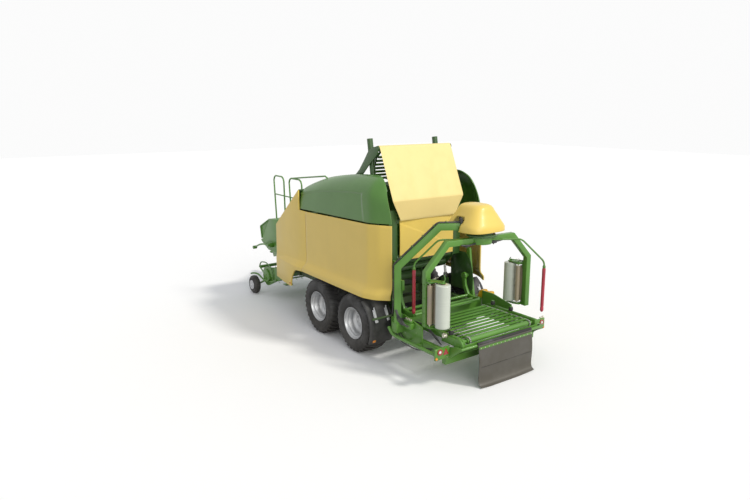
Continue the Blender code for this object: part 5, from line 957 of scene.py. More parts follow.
bm = bmesh.new()
slat_gap = (FRONT_SHAFT - REAR_SHAFT) / 9
for i in range(9):
    y = REAR_SHAFT + slat_gap * (i + 0.55)
    for level, face in ((SHAFT_Z + CHAIN_LOOP - 0.004, 1), (SHAFT_Z - CHAIN_LOOP + 0.004, -1)):
        block(bm, (-0.748, y - 0.026, level - 0.009), (0.748, y + 0.026, level + 0.009), 0.004)
        block(bm, (-0.70, y - 0.005, level + face * 0.009), (0.70, y + 0.005, level + face * 0.021), 0.002)
finished("table_slats", bm, GREEN, "table")
bm = bmesh.new()
for side in (-1, 1):
    link_chain(bm, (side * CHAIN_X, FRONT_SHAFT, SHAFT_Z), (side * CHAIN_X, REAR_SHAFT, SHAFT_Z),
               CHAIN_LOOP - 0.004,
               Vector((1, 0, 0)))
finished("table_chains", bm, STEEL, "table")
bm = bmesh.new()
for y in (FRONT_SHAFT, REAR_SHAFT):
    drum = [(0, -0.825), (0.022, -0.825), (0.022, -0.765), (0.048, -0.762), (0.048, -0.745),
            (0.022, -0.742),
            (0.022, -0.695), (0.052, -0.690), (0.052, 0.690), (0.022, 0.695), (0.022, 0.742),
            (0.048, 0.745),
            (0.048, 0.762), (0.022, 0.765), (0.022, 0.825), (0, 0.825)]
    turned(bm, drum, outward(1, 0, y, SHAFT_Z), 32)
    for side in (-1, 1):
        for tooth in range(12):
            turn = math.tau * tooth / 12
            block(bm, (side * CHAIN_X - 0.004, 0.044, -0.006), (side * CHAIN_X + 0.004, 0.056, 0.006),
                  0.002,
                  Matrix.Translation((0, y, SHAFT_Z)) @ Matrix.Rotation(turn, 4, "X"), 1)
rollers = finished("table_rollers", bm, GREEN, "table", 40)
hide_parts("table_conveyor")
bm = bmesh.new()
for side, share in GUIDE_PLACES:
    y = TABLE_FRONT + (TABLE_REAR - TABLE_FRONT) * share
    cone = [(0, 0.006), (0.028, 0.006), (0.036, 0.010), (0.040, 0.020), (0.0405, 0.050), (0.038, 0.068),
            (0.030, 0.082),
            (0.018, 0.088), (0, 0.089)]
    turned(bm, cone, Matrix.Translation((side * 0.87, y, TABLE_TOP)), 28)
finished("bale_guide_cones", bm, RUBBER, "table")

# Side members of the table: slotted angle irons with bearing plates, the drive's chain case
# at the left rear corner and its hydraulic motor.
bm = bmesh.new()
for side in (-1, 1):
    for y in (FRONT_SHAFT, REAR_SHAFT):
        plate(bm, ((-0.055, -0.048), (0.055, -0.048), (0.055, 0.048), (-0.055, 0.048)), 0.008,
              outward(1, side * 0.900 - (0.008 if side < 0 else 0), y, SHAFT_Z), 0.001, 0.012)
        for dy, dz in ((-0.036, -0.034), (0.036, -0.034), (0.036, 0.034), (-0.036, 0.034)):
            nut(bm, (side * 0.907, y + dy, SHAFT_Z + dz), (side, 0, 0), 0.008, 0.006, 0.003)
    for share in (0.08, 0.24, 0.33, 0.62, 0.86, 0.94):
        y = TABLE_FRONT + (TABLE_REAR - TABLE_FRONT) * share
        nut(bm, (side * 0.87, y, TABLE_TOP - 0.001), (0, 0, 1), 0.010, 0.008, 0.004)
    block(bm, (side * 0.858, TABLE_REAR + 0.02, TABLE_TOP - 0.002),
          (side * 0.895, TABLE_FRONT - 0.02, TABLE_TOP + 0.006),
          0.002)
turned(bm, [(0, 0.0), (0.106, 0.0), (0.112, 0.006), (0.112, 0.030), (0.094, 0.038), (0.030, 0.038),
            (0.028, 0.046), (0, 0.046)],
       outward(-1, -0.902, REAR_SHAFT + 0.01, SHAFT_Z - 0.045), 40)
block(bm, (-0.935, REAR_SHAFT - 0.02, SHAFT_Z - 0.085), (-0.903, REAR_SHAFT + 0.42, SHAFT_Z + 0.045), 0.012)
block(bm, (-0.90, TABLE_REAR - 0.012, 0.700), (0.90, TABLE_REAR + 0.004, 0.762), 0.003)
for i in range(9):
    nut(bm, (-0.80 + 0.20 * i, TABLE_REAR - 0.012, 0.731), (0, -1, 0), 0.009, 0.006, 0.003)
finished("table_fittings", bm, GREEN, "table")
softened("table_frame", GREEN, 0.005)
bm = bmesh.new()
motor = [(0, 0.0), (0.036, 0.0), (0.038, 0.004), (0.038, 0.024), (0.032, 0.028), (0.032, 0.060),
         (0.026, 0.068), (0, 0.068)]
turned(bm, motor, outward(-1, -0.936, REAR_SHAFT + 0.30, SHAFT_Z + 0.045), 28)
for turn in (0.5, 1.4):
    rod(bm, (-0.982, REAR_SHAFT + 0.30, SHAFT_Z + 0.045),
        (-0.982, REAR_SHAFT + 0.30 + 0.052 * math.cos(turn), SHAFT_Z + 0.045 + 0.052 * math.sin(turn)),
        0.010, sides=12)
finished("conveyor_motor", bm, ZINC, "table")


# Drop mat: a thick rubber sheet that eases the bale down to the ground, bolted by a green
# strip and rolled back over its tube; ribbed across at half height and curled at the foot.
MAT_HALF = 0.642
MAT_HANG = REAR_AXLE - 2.548
MAT_PATH = ((0.012, 0.738), (-0.008, 0.742), (-0.026, 0.732), (-0.033, 0.712), (-0.037, 0.690),
            (-0.052, 0.600), (-0.064, 0.500),
            (-0.070, 0.420), (-0.070, 0.330), (-0.064, 0.240), (-0.058, 0.160), (-0.060, 0.100),
            (-0.078, 0.052),
            (-0.108, 0.024), (-0.146, 0.012))
MAT_COLUMNS = (-1.0, -0.75, -0.5, -0.25, 0.0, 0.25, 0.5, 0.75, 1.0)
rows = []
for back, height in MAT_PATH:
    lift = max(0.0, 0.10 - height) * 0.12
    rows.append([(MAT_HALF * share, MAT_HANG + 0.020 + back * (1.0 - 0.10 * abs(share) ** 4)
                  - 0.004 * math.sin(share * 7.0) * (0.75 - height), height + lift * abs(share) ** 3)
                 for share in MAT_COLUMNS])
mat = finished("drop_mat_sheet", formed(rows, 2), MAT_RUBBER, "chassis", 60)
walled(mat, 0.010, 0.002)
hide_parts("drop_mat")
bm = bmesh.new()
rod(bm, (-MAT_HALF, MAT_HANG + 0.012, 0.748), (MAT_HALF, MAT_HANG + 0.012, 0.748), 0.026, sides=28,
    round_end=0.004)
rod(bm, (-0.60, MAT_HANG - 0.056, 0.352), (0.60, MAT_HANG - 0.056, 0.352), 0.0035, sides=8)
finished("drop_mat_roll", bm, RUBBER, "chassis")
bm = bmesh.new()
block(bm, (-MAT_HALF, MAT_HANG - 0.033, 0.664), (MAT_HALF, MAT_HANG - 0.027, 0.706), 0.0015)
finished("drop_mat_strip", bm, GREEN, "chassis")
bm = bmesh.new()
for i in range(14):
    nut(bm, (-0.605 + 0.0931 * i, MAT_HANG - 0.033, 0.685), (0, -1, 0), 0.010, 0.006, 0.004)
finished("drop_mat_bolts", bm, ZINC, "chassis")


# Rear boards: a plate each side with its lamp, reflective triangle, amber marker and, on the
# right, a bright coupling; held on the bumper tube that runs forward.
BOARD_Y = REAR_AXLE - 2.2505


def glass(name, colour, roughness, scale=140.0, depth=0.0006):
    """A lamp's moulded lens: hard, clear-coated and finely grained."""
    made = Finish(name, colour, roughness, coat=0.8)
    made.bump(made.noise(scale, 0.0), depth, 0.5)
    return made.material


RED_GLASS = glass("lamp_red", (0.34, 0.004, 0.008), 0.12, 120.0, 0.0008)
WHITE_GLASS = glass("lamp_white", (0.75, 0.75, 0.72), 0.10)
AMBER = glass("lamp_amber", (0.85, 0.28, 0.01), 0.14)

green_parts, red_parts, white_parts, amber_parts, zinc_parts = [bmesh.new() for _ in range(5)]
for label, side in SIDES.items():
    turn = Matrix.Translation((side * 1.17, BOARD_Y, 0.635)) @ Matrix.Rotation(math.pi / 2, 4, "X")
    half = 0.158
    outline = ((-half, -0.103), (half, -0.103), (half, 0.103), (-half, 0.103))
    plate(green_parts, outline, 0.018, turn @ Matrix.Translation((0, 0, 0.001)), 0.003, 0.012)
    face = turn @ Matrix.Translation((0, 0, 0.0193))
    lamp_x = 0.075 if side > 0 else -0.055
    lamp = face @ Matrix.Translation((lamp_x, 0.030, 0))
    turned(red_parts, [(0.026, 0), (0.052, 0), (0.052, 0.012), (0.047, 0.017), (0.030, 0.017),
                       (0.026, 0.012)], lamp, 36,
           closed=True)
    turned(white_parts, [(0, 0), (0.0255, 0), (0.0255, 0.012), (0.020, 0.018), (0, 0.020)], lamp, 32)
    if side < 0:
        plate(red_parts, ((0.015, -0.035), (0.135, -0.035), (0.075, 0.075)), 0.005, face, 0.001, 0.010)
    else:
        block(red_parts, (-0.130, -0.060, 0.0), (0.010, -0.035, 0.006), 0.002, face)
    out = face @ Matrix.Translation((side * 0.128, -0.070, 0))
    turned(amber_parts, [(0, 0), (0.020, 0), (0.022, 0.010), (0.018, 0.017), (0, 0.019)], out, 24)
    for x, z in ((-0.138, 0.082), (0.138, 0.082), (-0.138, -0.082), (0.138 if side > 0 else 0.10, -0.082)):
        nut(zinc_parts, face @ Vector((x, z, 0)), (0, -1, 0), 0.008, 0.006, 0.003)
    bent = [(side * 1.27, REAR_AXLE - 0.935, 0.735), (side * 1.27, REAR_AXLE - 1.05, 0.615),
            (side * 1.27, BOARD_Y + 0.012, 0.61)]
    tube(green_parts, bent, 0.029, 0.09, 20, 8)
    for y in (-1.35, -1.62):
        block(green_parts, (side * 1.08, REAR_AXLE + y - 0.03, 0.575),
              (side * 1.25, REAR_AXLE + y + 0.03, 0.590),
              0.003)
turned(zinc_parts, [(0, 0), (0.014, 0), (0.016, 0.010), (0.016, 0.055), (0.024, 0.060), (0.026, 0.090),
                    (0.020, 0.098), (0, 0.100)],
       outward(1, 1.225, BOARD_Y + 0.006, 0.748), 24)
boards = finished("rear_boards", green_parts, GREEN, "chassis")
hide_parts("side_guard_left", "side_guard_right")
finished("rear_lamps", red_parts, RED_GLASS, "chassis")
finished("rear_lamp_centres", white_parts, WHITE_GLASS, "chassis")
finished("rear_amber_markers", amber_parts, AMBER, "chassis")
finished("rear_board_bolts", zinc_parts, ZINC, "chassis")


# Wheel chocks: two yellow moulded wedges, ribbed and stepped, on their rack behind the right
# wheels, held by a bow of bent bar.
bm = bmesh.new()
CHOCK_X = 1.168
CHOCK_Z = 0.800
for i, y in enumerate((REAR_AXLE - 0.81, REAR_AXLE - 0.99)):
    outline = ((-0.080, 0.0), (0.080, 0.0), (0.076, 0.055), (0.030, 0.165), (-0.062, 0.178),
               (-0.080, 0.150))
    for j in range(4):
        shift = CHOCK_X - 0.066 + 0.034 * j
        plate(bm, outline, 0.024, Matrix.Translation((shift, y, CHOCK_Z)) @ Matrix.Rotation(math.pi / 2, 4,
            "Z")
              @ Matrix.Rotation(math.pi / 2, 4, "X"), 0.004, 0.010)
    block(bm, (CHOCK_X - 0.062, y - 0.070, CHOCK_Z + 0.003), (CHOCK_X + 0.066, y + 0.066, CHOCK_Z + 0.043),
          0.006)
    block(bm, (CHOCK_X - 0.060, y - 0.055, CHOCK_Z + 0.043), (CHOCK_X + 0.064, y + 0.030, CHOCK_Z + 0.141),
          0.010)
chocks = finished("wheel_chocks_ribbed", bm, YELLOW, "chassis")
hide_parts("wheel_chocks")
bm = bmesh.new()
for y in (REAR_AXLE - 0.77, REAR_AXLE - 1.03):
    tube(bm, [(1.085, y, 0.72), (1.085, y, 0.785), (1.250, y, 0.785), (1.250, y, 0.93)], 0.008, 0.03, 10)
tube(bm, [(1.250, REAR_AXLE - 0.77, 0.93), (1.250, REAR_AXLE - 1.03, 0.93)], 0.008, 0.03, 10)
finished("wheel_chock_rack", bm, GREEN, "chassis")


# Mudguards: black plastic quarter shells behind the rear wheels, ribbed and lipped, strapped
# to their stays with bright spring clips; an amber marker low on each.
MUDGUARD_RADIUS = 0.631


def ribbed(point):
    """Lift the shell where its two ribs run round it."""
    arm = Vector((0, point.y - REAR_AXLE, point.z - HUB_HEIGHT))
    reach = arm.length
    level = abs(point.x)
    lift = 0.005 if 0.985 < level < 1.035 or 1.345 < level < 1.395 else 0.0
    return Vector((point.x, REAR_AXLE + arm.y * (1 + lift / reach),
                   HUB_HEIGHT + arm.z * (1 + lift / reach)))


amber_low, straps = bmesh.new(), bmesh.new()
for label, side in SIDES.items():
    rows = []
    section = ((0.935, -0.030), (0.940, 0.0), (1.02, 0.0), (1.20, 0.0), (1.38, 0.0), (1.445, 0.0),
               (1.451, -0.030))
    for i in range(13):
        turn = math.radians(-24 + 80.5 * i / 12)
        rows.append([(side * x, REAR_AXLE - (MUDGUARD_RADIUS + deep) * math.cos(turn),
                      HUB_HEIGHT + (MUDGUARD_RADIUS + deep) * math.sin(turn)) for x, deep in section])
    guard = finished("mudguard_%s_shell" % label, formed(rows, 2, ribbed), BLACK, "chassis",
                     50)
    walled(guard, 0.006, 0.0015)
    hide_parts("mudguard_" + label)
    for x in (1.055, 1.315):
        turn = math.radians(25)
        at = Vector((side * x, REAR_AXLE - 0.641 * math.cos(turn), HUB_HEIGHT + 0.641 * math.sin(turn)))
        lean = Matrix.Translation(at) @ Matrix.Rotation(math.pi / 2 - turn, 4, "X")
        block(straps, (-0.030, -0.125, -0.002), (0.030, 0.115, 0.006), 0.002, lean)
        block(straps, (-0.020, -0.075, 0.005), (0.020, 0.090, 0.024), 0.006, lean)
        rod(straps, lean @ Vector((0, 0.095, 0.015)), lean @ Vector((0, 0.155, 0.030)), 0.012, sides=14)
        rod(straps, lean @ Vector((-0.034, -0.100, 0.008)), lean @ Vector((0.034, -0.100, 0.008)), 0.008,
            sides=12)
    turn = math.radians(-18)
    at = Vector((side * 1.36, REAR_AXLE - 0.637 * math.cos(turn), HUB_HEIGHT + 0.637 * math.sin(turn)))
    block(amber_low, (-0.032, -0.022, -0.003), (0.032, 0.022, 0.010), 0.004,
          Matrix.Translation(at) @ Matrix.Rotation(math.pi / 2 - turn, 4, "X"))
finished("mudguard_markers", amber_low, AMBER, "chassis")
finished("mudguard_straps", straps, SILVER, "chassis")


# Curtain: a heavy cream cloth over the top roller, hanging to the tension frame and folded
# back there to the rear door; welded seams, a hemmed foot on a flat bar, soft waves.
CURTAIN_ROLLER = (REAR_AXLE - 0.05, 3.79)
CURTAIN_WRAP = 0.0555
CURTAIN_PATH = []
for degrees in (50, 73, 96, 119, 142, 165):
    turn = math.radians(degrees)
    CURTAIN_PATH.append((CURTAIN_ROLLER[0] + CURTAIN_WRAP * math.cos(turn),
                         CURTAIN_ROLLER[1] + CURTAIN_WRAP * math.sin(turn), 0.85))
for share in (0.08, 0.2, 0.4, 0.6, 0.8, 0.93, 0.985):
    CURTAIN_PATH.append((CURTAIN_ROLLER[0] - 0.055 - (0.50 - 0.105) * share,
                         CURTAIN_ROLLER[1] + 0.014 - 0.924 * share, 0.85))
CURTAIN_PATH += [(REAR_AXLE - 0.499, 2.872, 0.848), (REAR_AXLE - 0.498, 2.84, 0.835),
                 (REAR_AXLE - 0.494, 2.72, 0.77),
                 (REAR_AXLE - 0.490, 2.60, 0.705), (REAR_AXLE - 0.488, 2.51, 0.672)]
rows = []
for y, z, half in CURTAIN_PATH:
    free = clamped((3.74 - z) / 0.5) * max(0.15, min(1.0, (z - 2.86) / 0.25 + 0.15) if z > 2.86 else 0.5)
    row = []
    for i in range(25):
        share = i / 12 - 1
        wave = 0.007 * math.sin(share * 9.0 + z * 1.3) + 0.004 * math.sin(share * 21.0 + 1.0)
        row.append((half * share, y + wave * free * (0.4 if z < 2.87 else 1.0), z))
    rows.append(row)


def welded(point):
    """Lift the cloth where it is doubled at the hems."""
    lift = 0.0016 if abs(point.x) > 0.80 or point.z < 2.60 else 0.0
    return Vector((point.x, point.y - lift, point.z))


cloth = Finish("cream_cloth", (0.86, 0.70, 0.30), 0.55)
height = cloth.part_of("Z")
weave = cloth.noise(260.0, 2.0)
crease = cloth.noise(2.6, 4.0, (2.2, 1.0, 0.55))
soil = cloth.noise(3.5, 4.0)
# Below the fold, where the cloth hangs upright, its colour is mixed half with a darker tan. This is painted
# shade for the part that faces away from the lamps.
clear_of_painted_shade = height.above(2.872, 0.006)
tone = cloth.blend(soil.above(0.58, 0.12) * 0.35, (0.86, 0.70, 0.29), (0.78, 0.61, 0.24))
cloth.feed("Base Color", cloth.blend(clear_of_painted_shade, cloth.blend(0.5, tone, (0.70, 0.53, 0.20)), tone))
cloth.feed("Roughness", (0.46 + weave * 0.18).held())
cloth.bump(crease * 0.8 + weave * 0.02, 0.010, 0.35)
CLOTH = cloth.material
curtain = finished("curtain_cloth", formed(rows, 1, welded), CLOTH, "tailgate", 70)
walled(curtain, 0.004, 0.0008)
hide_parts("curtain")


# Rear door: a glass-fibre skin, gel-coated cream, crowned, with a raised field below a
# diagonal; a rubber lip and bolts run along its foot.
DOOR_Y = REAR_AXLE - 0.43
DOOR_HALF = 0.655
DOOR_TOP = 2.519
DOOR_FOOT = 1.751
DOOR_CROWN = 0.038
rows = []
for i in range(9):
    height = DOOR_TOP - (DOOR_TOP - DOOR_FOOT) * i / 8
    lean = (2.52 - height) / 0.77
    rows.append([(DOOR_HALF * share,
                  DOOR_Y - DOOR_CROWN * (1 - share ** 2) - 0.010 * math.sin(math.pi * lean), height)
                 for share in (-1.0, -0.8, -0.5, -0.2, 0.0, 0.2, 0.5, 0.8, 1.0)])


def creased(point):
    """A raised field below the diagonal."""
    line = 2.43 - (point.x + 0.60) * 0.42
    rise = clamped((line - point.z) / 0.018 + 0.5)
    return Vector((point.x, point.y - 0.007 * rise * rise * (3 - 2 * rise), point.z))


rear_door = finished("rear_door_skin", formed(rows, 3, creased), CREAM, "tailgate", 60)
walled(rear_door, 0.016, 0.003)
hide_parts("rear_door")
bm = bmesh.new()
for i in range(7):
    x = -0.60 + 0.20 * i
    nut(bm, (x, DOOR_Y - DOOR_CROWN * (1 - (x / DOOR_HALF) ** 2) - 0.012, 1.775), (0, -1, 0), 0.009, 0.005,
        0.003)
finished("rear_door_bolts", bm, ZINC, "tailgate")
bm = bmesh.new()
lip = [(0.645 * share, DOOR_Y - DOOR_CROWN * (1 - share ** 2) - 0.008, 1.752) for share in (-1, -0.66,
    -0.33, 0, 0.33, 0.66, 1)]
tube(bm, lip, 0.011, 0.1, 10)
finished("rear_door_lip", bm, RUBBER, "tailgate")


# Tension frame: two swing arms of dark green plate with a roller between their heads, and
# the tubes that guide the belts, on upright straps behind the curtain.
ARM_X = 0.875
ROLLER_PLACE = Vector((0, *CURTAIN_ROLLER))
GATE_PIVOT = Vector((0, REAR_AXLE + 1.00, 3.00))
ARM_OUTLINE = ((-0.775, 2.975), (-0.790, 3.055), (-1.235, 3.300), (-1.330, 3.375), (-1.500, 3.565),
               (-1.655, 3.755),
               (-1.790, 3.815), (-1.930, 3.838), (-1.952, 3.760), (-1.925, 3.690), (-1.800, 3.590),
               (-1.640, 3.470),
               (-1.440, 3.290), (-1.180, 3.130), (-0.930, 2.950), (-0.850, 2.944))
STRAP_OUTLINE = ((-1.400, 3.150), (-1.430, 3.150), (-1.560, 3.360), (-1.650, 3.590), (-1.880, 3.800),
                 (-1.850, 3.815),
                 (-1.600, 3.620), (-1.520, 3.400))
GUIDE_TUBES = ((-1.430, 3.200), (-1.470, 3.268), (-1.510, 3.336), (-1.545, 3.405), (-1.580, 3.475),
               (-1.610, 3.545),
               (-1.690, 3.620))
bm = bmesh.new()
for side in (-1, 1):
    for outline, x, thick in ((ARM_OUTLINE, ARM_X, 0.020), (STRAP_OUTLINE, 0.695, 0.016)):
        plate(bm, [(-z, y) for y, z in outline], thick,
              outward(1, side * x - thick / 2, 0, 0), 0.002, 0.018)
    rod(bm, (side * (ARM_X + 0.009), GATE_PIVOT.y, GATE_PIVOT.z),
        (side * 0.714, GATE_PIVOT.y, GATE_PIVOT.z), 0.040, sides=32)
    for centre, size in ((Vector((0, REAR_AXLE + 0.26, 3.63)), 0.030), (ROLLER_PLACE, 0.026)):
        nut(bm, (side * (ARM_X - 0.011), centre.y, centre.z), (-side, 0, 0), size, 0.008, 0.005)
rod(bm, (-ARM_X, ROLLER_PLACE.y, ROLLER_PLACE.z), (ARM_X, ROLLER_PLACE.y, ROLLER_PLACE.z), 0.050, sides=40)
swing = finished("tension_swing_frame", bm, DARK_GREEN, "tailgate")
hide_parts("tension_frame")
bm = bmesh.new()
for y, z in GUIDE_TUBES:
    rod(bm, (-0.686, y, z), (0.686, y, z), 0.024, sides=24)
finished("belt_guide_tubes", bm, GREEN, "tailgate")


# Gantry lines: two hoses and a steel pipe clipped along the gantry's back, into the hood and
# down to the valve block on the left side plate.
GANTRY_SECTION = 0.12
GANTRY_KNEE = 1.86
gantry_in = (ROTOR - GANTRY_FOOT).normalized()
gantry_reach = (ROTOR - GANTRY_FOOT).length
gantry_across = Vector((-gantry_in.y, gantry_in.x, 0))
GANTRY_LINES = ((-0.036, 0.0085, "hose"), (-0.012, 0.0085, "hose"), (0.014, 0.0055, "pipe"),
                (0.034, 0.0085, "hose"))
slope_in, slope_up = gantry_reach * 0.5, GANTRY_TOP - GANTRY_KNEE
slope_normal = (Vector((0, 0, 1)) * slope_in - gantry_in * slope_up).normalized()
hose_parts, pipe_parts, clip_parts = bmesh.new(), bmesh.new(), bmesh.new()


def on_gantry(distance, height, lift):
    """A place at a distance in from the gantry's foot, at a height."""
    return GANTRY_FOOT + gantry_in * distance + Vector((0, 0, height)) + lift


for shift, radius, kind in GANTRY_LINES:
    out = GANTRY_SECTION / 2 + radius + 0.004
    target = hose_parts if kind == "hose" else pipe_parts
    low_corner = (slope_normal - gantry_in).normalized()
    high_corner = (slope_normal + Vector((0, 0, 1))).normalized()
    line = [on_gantry(-out - 0.02, 1.02, gantry_across * shift),
            on_gantry(-out - 0.004, 1.16, gantry_across * shift),
            on_gantry(-out, 1.40, gantry_across * shift),
            on_gantry(0, GANTRY_KNEE, low_corner * (out / low_corner.dot(-gantry_in)) + gantry_across * shift),
            on_gantry(slope_in, GANTRY_TOP, high_corner * (out / high_corner.z) + gantry_across * shift),
            on_gantry(gantry_reach - 0.42, GANTRY_TOP, Vector((0, 0, out)) + gantry_across * shift),
            on_gantry(gantry_reach - 0.22, GANTRY_TOP,
                      Vector((0, 0, out + 0.03)) + gantry_across * shift * 1.3)]
    tube(target, line, radius, 0.06, 10)
CLIP_LIFT = 0.064
UP = Vector((0, 0, 1))
clip_places = [(slope_in * share, GANTRY_KNEE + slope_up * share, slope_normal * CLIP_LIFT,
                (gantry_across, slope_normal.cross(gantry_across), slope_normal)) for share in (0.16, 0.42,
                    0.68, 0.94)]
clip_places += [(-CLIP_LIFT, height, Vector(), (gantry_across, UP, -gantry_in)) for height in (1.28, 1.62)]
clip_places += [(slope_in + 0.12, GANTRY_TOP, UP * CLIP_LIFT, (gantry_across, gantry_in, UP))]
for distance, height, lift, directions in clip_places:
    block(clip_parts, (-0.052, -0.013, 0.0), (0.050, 0.013, 0.026), 0.004,
          Matrix.Translation(on_gantry(distance, height, lift)) @ axes(*directions))
lines = finished("gantry_hose_run", hose_parts, HOSE, "chassis")
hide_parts("gantry_hoses")
finished("gantry_pipe_run", pipe_parts, ZINC, "chassis")
finished("gantry_clips", clip_parts, DARK_GREEN, "chassis")


# Side plate fittings: a valve block with its hoses on the left, the lines that loop down to
# the table, and fasteners where the plates bolt to the wrapping frame.
hose_parts, zinc_parts, green_parts = bmesh.new(), bmesh.new(), bmesh.new()
for side in (-1, 1):
    for y, z in ((-0.93, 0.93), (-1.06, 0.72), (-1.35, 0.93), (-1.50, 0.74), (-1.60, 0.86), (-1.20, 0.66)):
        nut(zinc_parts, (side * 1.084, REAR_AXLE + y, z), (side, 0, 0), 0.013, 0.009, 0.006)
block(green_parts, (-1.190, REAR_AXLE - 1.46, 0.800), (-1.084, REAR_AXLE - 1.22, 0.900), 0.008)
block(green_parts, (-1.165, REAR_AXLE - 1.43, 0.901), (-1.105, REAR_AXLE - 1.25, 0.940), 0.006)
block(green_parts, (-1.136, REAR_AXLE - 1.150, 1.42), (-1.080, REAR_AXLE - 1.050, 1.60), 0.010)
for i in range(4):
    y = REAR_AXLE - 1.27 - 0.045 * i
    rod(zinc_parts, (-1.135, y, 0.940), (-1.135, y, 0.972), 0.011, sides=14)
    rod(zinc_parts, (-1.195, y, 0.855), (-1.170, y, 0.855), 0.013, sides=6)
    tube(hose_parts, [(-1.195, y, 0.855), (-1.245, y, 0.860), (-1.262, y + 0.10, 0.93 + 0.012 * i),
                      (-1.262 + 0.006 * i, REAR_AXLE - 1.17, 1.02),
                      (-1.275 + 0.012 * i, REAR_AXLE - 1.135, 1.10)], 0.0095, 0.05, 10)
for i in range(3):
    x = -1.105 - 0.030 * i
    tube(hose_parts, [(x, REAR_AXLE - 1.25, 0.935), (x, REAR_AXLE - 1.14, 0.925),
                      (x, REAR_AXLE - 1.02, 0.82 - 0.03 * i),
                      (x, REAR_AXLE - 0.98, 0.70 - 0.04 * i), (x + 0.01, REAR_AXLE - 1.16, 0.53 - 0.02 * i),
                      (x + 0.03, REAR_AXLE - 1.55, 0.50 - 0.02 * i),
                      (x + 0.05, REAR_AXLE - 1.92, 0.60 - 0.02 * i)],
         0.010, 0.09, 10)
for i in range(3):
    tube(hose_parts, [(-0.985 + 0.02 * i, REAR_AXLE - 1.30 - 0.05 * i, 0.86),
                      (-0.975, REAR_AXLE - 1.42 - 0.05 * i, 0.90),
                      (-0.965, REAR_AXLE - 1.62 - 0.04 * i, 0.84),
                      (-0.968, REAR_AXLE - 1.86, 0.72 + 0.02 * i),
                      (-0.975, REAR_AXLE - 2.02, 0.66)], 0.009, 0.08, 10)
finished("side_plate_hoses", hose_parts, HOSE, "chassis")
finished("side_plate_unions", zinc_parts, ZINC, "chassis")
finished("side_plate_brackets", green_parts, GREEN, "chassis")


# Transfer walls: dark green plates that guide the bale from the chamber to the table, each
# with two flat stays across its outer face.
bm = bmesh.new()
WALL_OUTLINE = ((-0.15, 0.96), (-0.15, 1.70), (-0.58, 1.74), (-0.72, 1.58), (-0.80, 1.30), (-0.80, 1.00),
                (-0.72, 0.96))
for side in (-1, 1):
    turn = Matrix(((0, 0, side, side * 0.885), (1, 0, 0, REAR_AXLE), (0, 1, 0, 0), (0, 0, 0, 1)))
    plate(bm, WALL_OUTLINE, 0.008, turn, 0.001, 0.04)
    for start, end in (((-0.20, 1.34), (-0.76, 1.24)), ((-0.52, 1.70), (-0.60, 1.00))):
        first = Vector((side * 0.899, REAR_AXLE + start[0], start[1]))
        last = Vector((side * 0.899, REAR_AXLE + end[0], end[1]))
        middle = (first + last) / 2
        lie = (last - first).normalized()
        turn = axes(Vector((side, 0, 0)), lie, Vector((side, 0, 0)).cross(lie))
        block(bm, (-0.006, -(last - first).length / 2, -0.022), (0.010, (last - first).length / 2, 0.022),
              0.006,
              Matrix.Translation(middle) @ turn)
finished("transfer_walls", bm, DARK_GREEN, "chassis")


# Net box fittings: the lid's folded ends, with their stiffening lip, turn with the lid.
LID_END = ((2.1835, 1.958), (2.4400, 1.835), (2.6850, 1.722), (2.6900, 1.690), (2.6250, 1.462),
           (2.5850, 1.480))
bm = bmesh.new()
for side in (-1, 1):
    plate(bm, [(-z, y) for y, z in LID_END], 0.006,
          outward(1, side * 1.118 - 0.003, 0, 0), 0.001, 0.016)
    tube(bm, [(side * 1.110, 2.255, 1.905), (side * 1.108, 2.440, 1.800), (side * 1.108, 2.640, 1.690),
              (side * 1.110, 2.600, 1.520)], 0.008, 0.04, 10)
finished("net_lid_ends", bm, GREEN, "net_lid")


# Gauge wheels: a pressed silver disc with its hub cap and bolts in each outer face.
GAUGE_Y = 2.9385
GAUGE_Z = 0.225
for label, side in SIDES.items():
    bm = bmesh.new()
    disc = [(0, 0.034), (0.022, 0.034), (0.026, 0.030), (0.028, 0.012), (0.050, 0.006), (0.088, 0.006),
            (0.104, 0.014),
            (0.112, 0.014), (0.116, 0.008), (0.116, 0.0), (0, 0.0)]
    turned(bm, disc, outward(side, side * 1.326, GAUGE_Y, GAUGE_Z), 40)
    for turn in range(4):
        at = math.tau * turn / 4 + 0.4
        nut(bm, (side * 1.331, GAUGE_Y + 0.048 * math.cos(at), GAUGE_Z + 0.048 * math.sin(at)),
            (side, 0, 0), 0.009, 0.007, 0.004)
    finished("gauge_hub_" + label, bm, SILVER, "gauge_" + label)


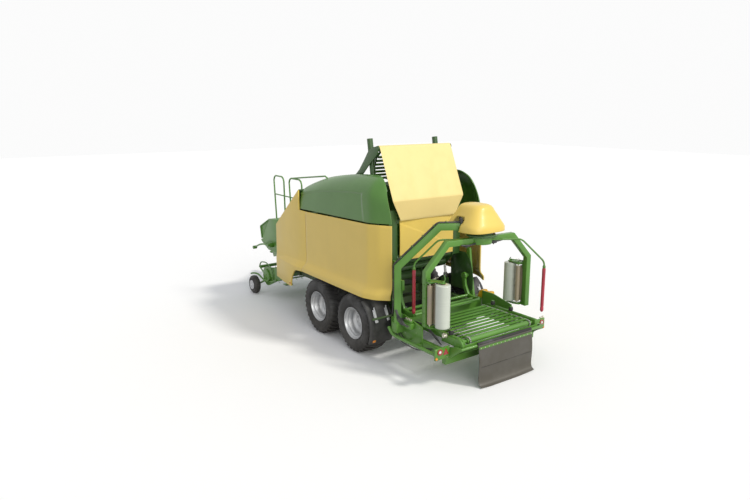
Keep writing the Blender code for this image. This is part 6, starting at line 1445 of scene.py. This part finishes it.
# Pick-up fittings: bent tube arms that carry the gauge wheels, with the drive's round cover
# and a guard strap bolted to each side plate.
REEL_Y = 2.5585
REEL_Z = 0.49
for side in (-1, 1):
    bm = bmesh.new()
    tube(bm, [(side * 1.095, 2.02, 0.500), (side * 1.100, 2.25, 0.410), (side * 1.115, 2.55, 0.360),
              (side * 1.130, 2.76, 0.400),
              (side * 1.165, 2.90, 0.495), (side * 1.250, 3.02, 0.500), (side * 1.262, 3.10, 0.470)], 0.021,
         0.09, 14)
    cover = [(0, 0.0), (0.165, 0.0), (0.172, 0.005), (0.172, 0.026), (0.150, 0.034), (0.060, 0.038),
             (0.056, 0.050),
             (0.020, 0.052), (0, 0.052)]
    turned(bm, cover, outward(side, side * 1.082, REEL_Y, REEL_Z), 40)
    for turn in range(6):
        at = math.tau * turn / 6
        nut(bm, (side * 1.108, REEL_Y + 0.160 * math.cos(at), REEL_Z + 0.160 * math.sin(at)), (side, 0, 0),
            0.009, 0.006, 0.003)
    tube(bm, [(side * 1.100, 2.205, 0.440), (side * 1.105, 2.205, 0.620), (side * 1.105, 2.300, 0.780),
              (side * 1.105, 2.560, 0.845),
              (side * 1.105, 2.840, 0.800), (side * 1.105, 2.930, 0.660)], 0.015, 0.08, 12)
    finished("pickup_arm_" + ("left" if side < 0 else "right"), bm, GREEN, "pickup")


# Hand lever on the net box: a bent tube with a round grip, on a bracket on the left side.
LEVER_X = -1.255
bm = bmesh.new()
block(bm, (-1.238, 1.980, 1.330), (-1.151, 2.070, 1.420), 0.006)
lever = ((2.025, 1.378), (2.312, 1.366), (2.543, 1.311), (2.700, 1.240), (2.790, 1.204))
tube(bm, [(LEVER_X, y, z) for y, z in lever], 0.020, 0.10, 14)
rod(bm, (-1.238, 2.025, 1.378), (-1.278, 2.025, 1.378), 0.032, sides=24)
rod(bm, (-1.300, 2.800, 1.200), (-1.215, 2.800, 1.200), 0.040, sides=28)
finished("net_box_lever", bm, GREEN, "chassis")


# Front panel markers: amber reflectors riveted near the front edge and on the lower corner.
bm = bmesh.new()
for side in (-1, 1):
    block(bm, (side * 1.292, 1.478, 1.090), (side * 1.276, 1.512, 1.135), 0.003)
    block(bm, (side * 1.422, 0.640, 0.775), (side * 1.412, 0.700, 0.805), 0.003)
finished("front_panel_markers", bm, AMBER, "chassis")


# Welded steelwork: box sections and plates with their edges rounded by the press.
for node, width in (("gantry", 0.008), ("wrap_arms", 0.010), ("wrap_frame", 0.004),
                    ("bale_lifter", 0.006), ("drawbar", 0.012), ("jack_leg", 0.006), ("net_box", 0.014),
                    ("net_lid_panel", 0.004)):
    softened(node, GREEN, width)
for node, width in (("main_frame", 0.006), ("tandem_axle", 0.006), ("gearbox", 0.012),
                    ("tailgate_frame", 0.003),
                    ("bale_chamber", 0.003)):
    softened(node, DARK_GREEN, width)
keep(GREEN, "hand_rails", "pickup_frame", "tine_reel", "slat_elevator")
keep(DARK_GREEN, "cylinder_barrel_left", "cylinder_barrel_right")
keep(RUBBER, "gauge_wheel_left", "gauge_wheel_right")
keep(STEEL, "cylinder_rod_left", "cylinder_rod_right")
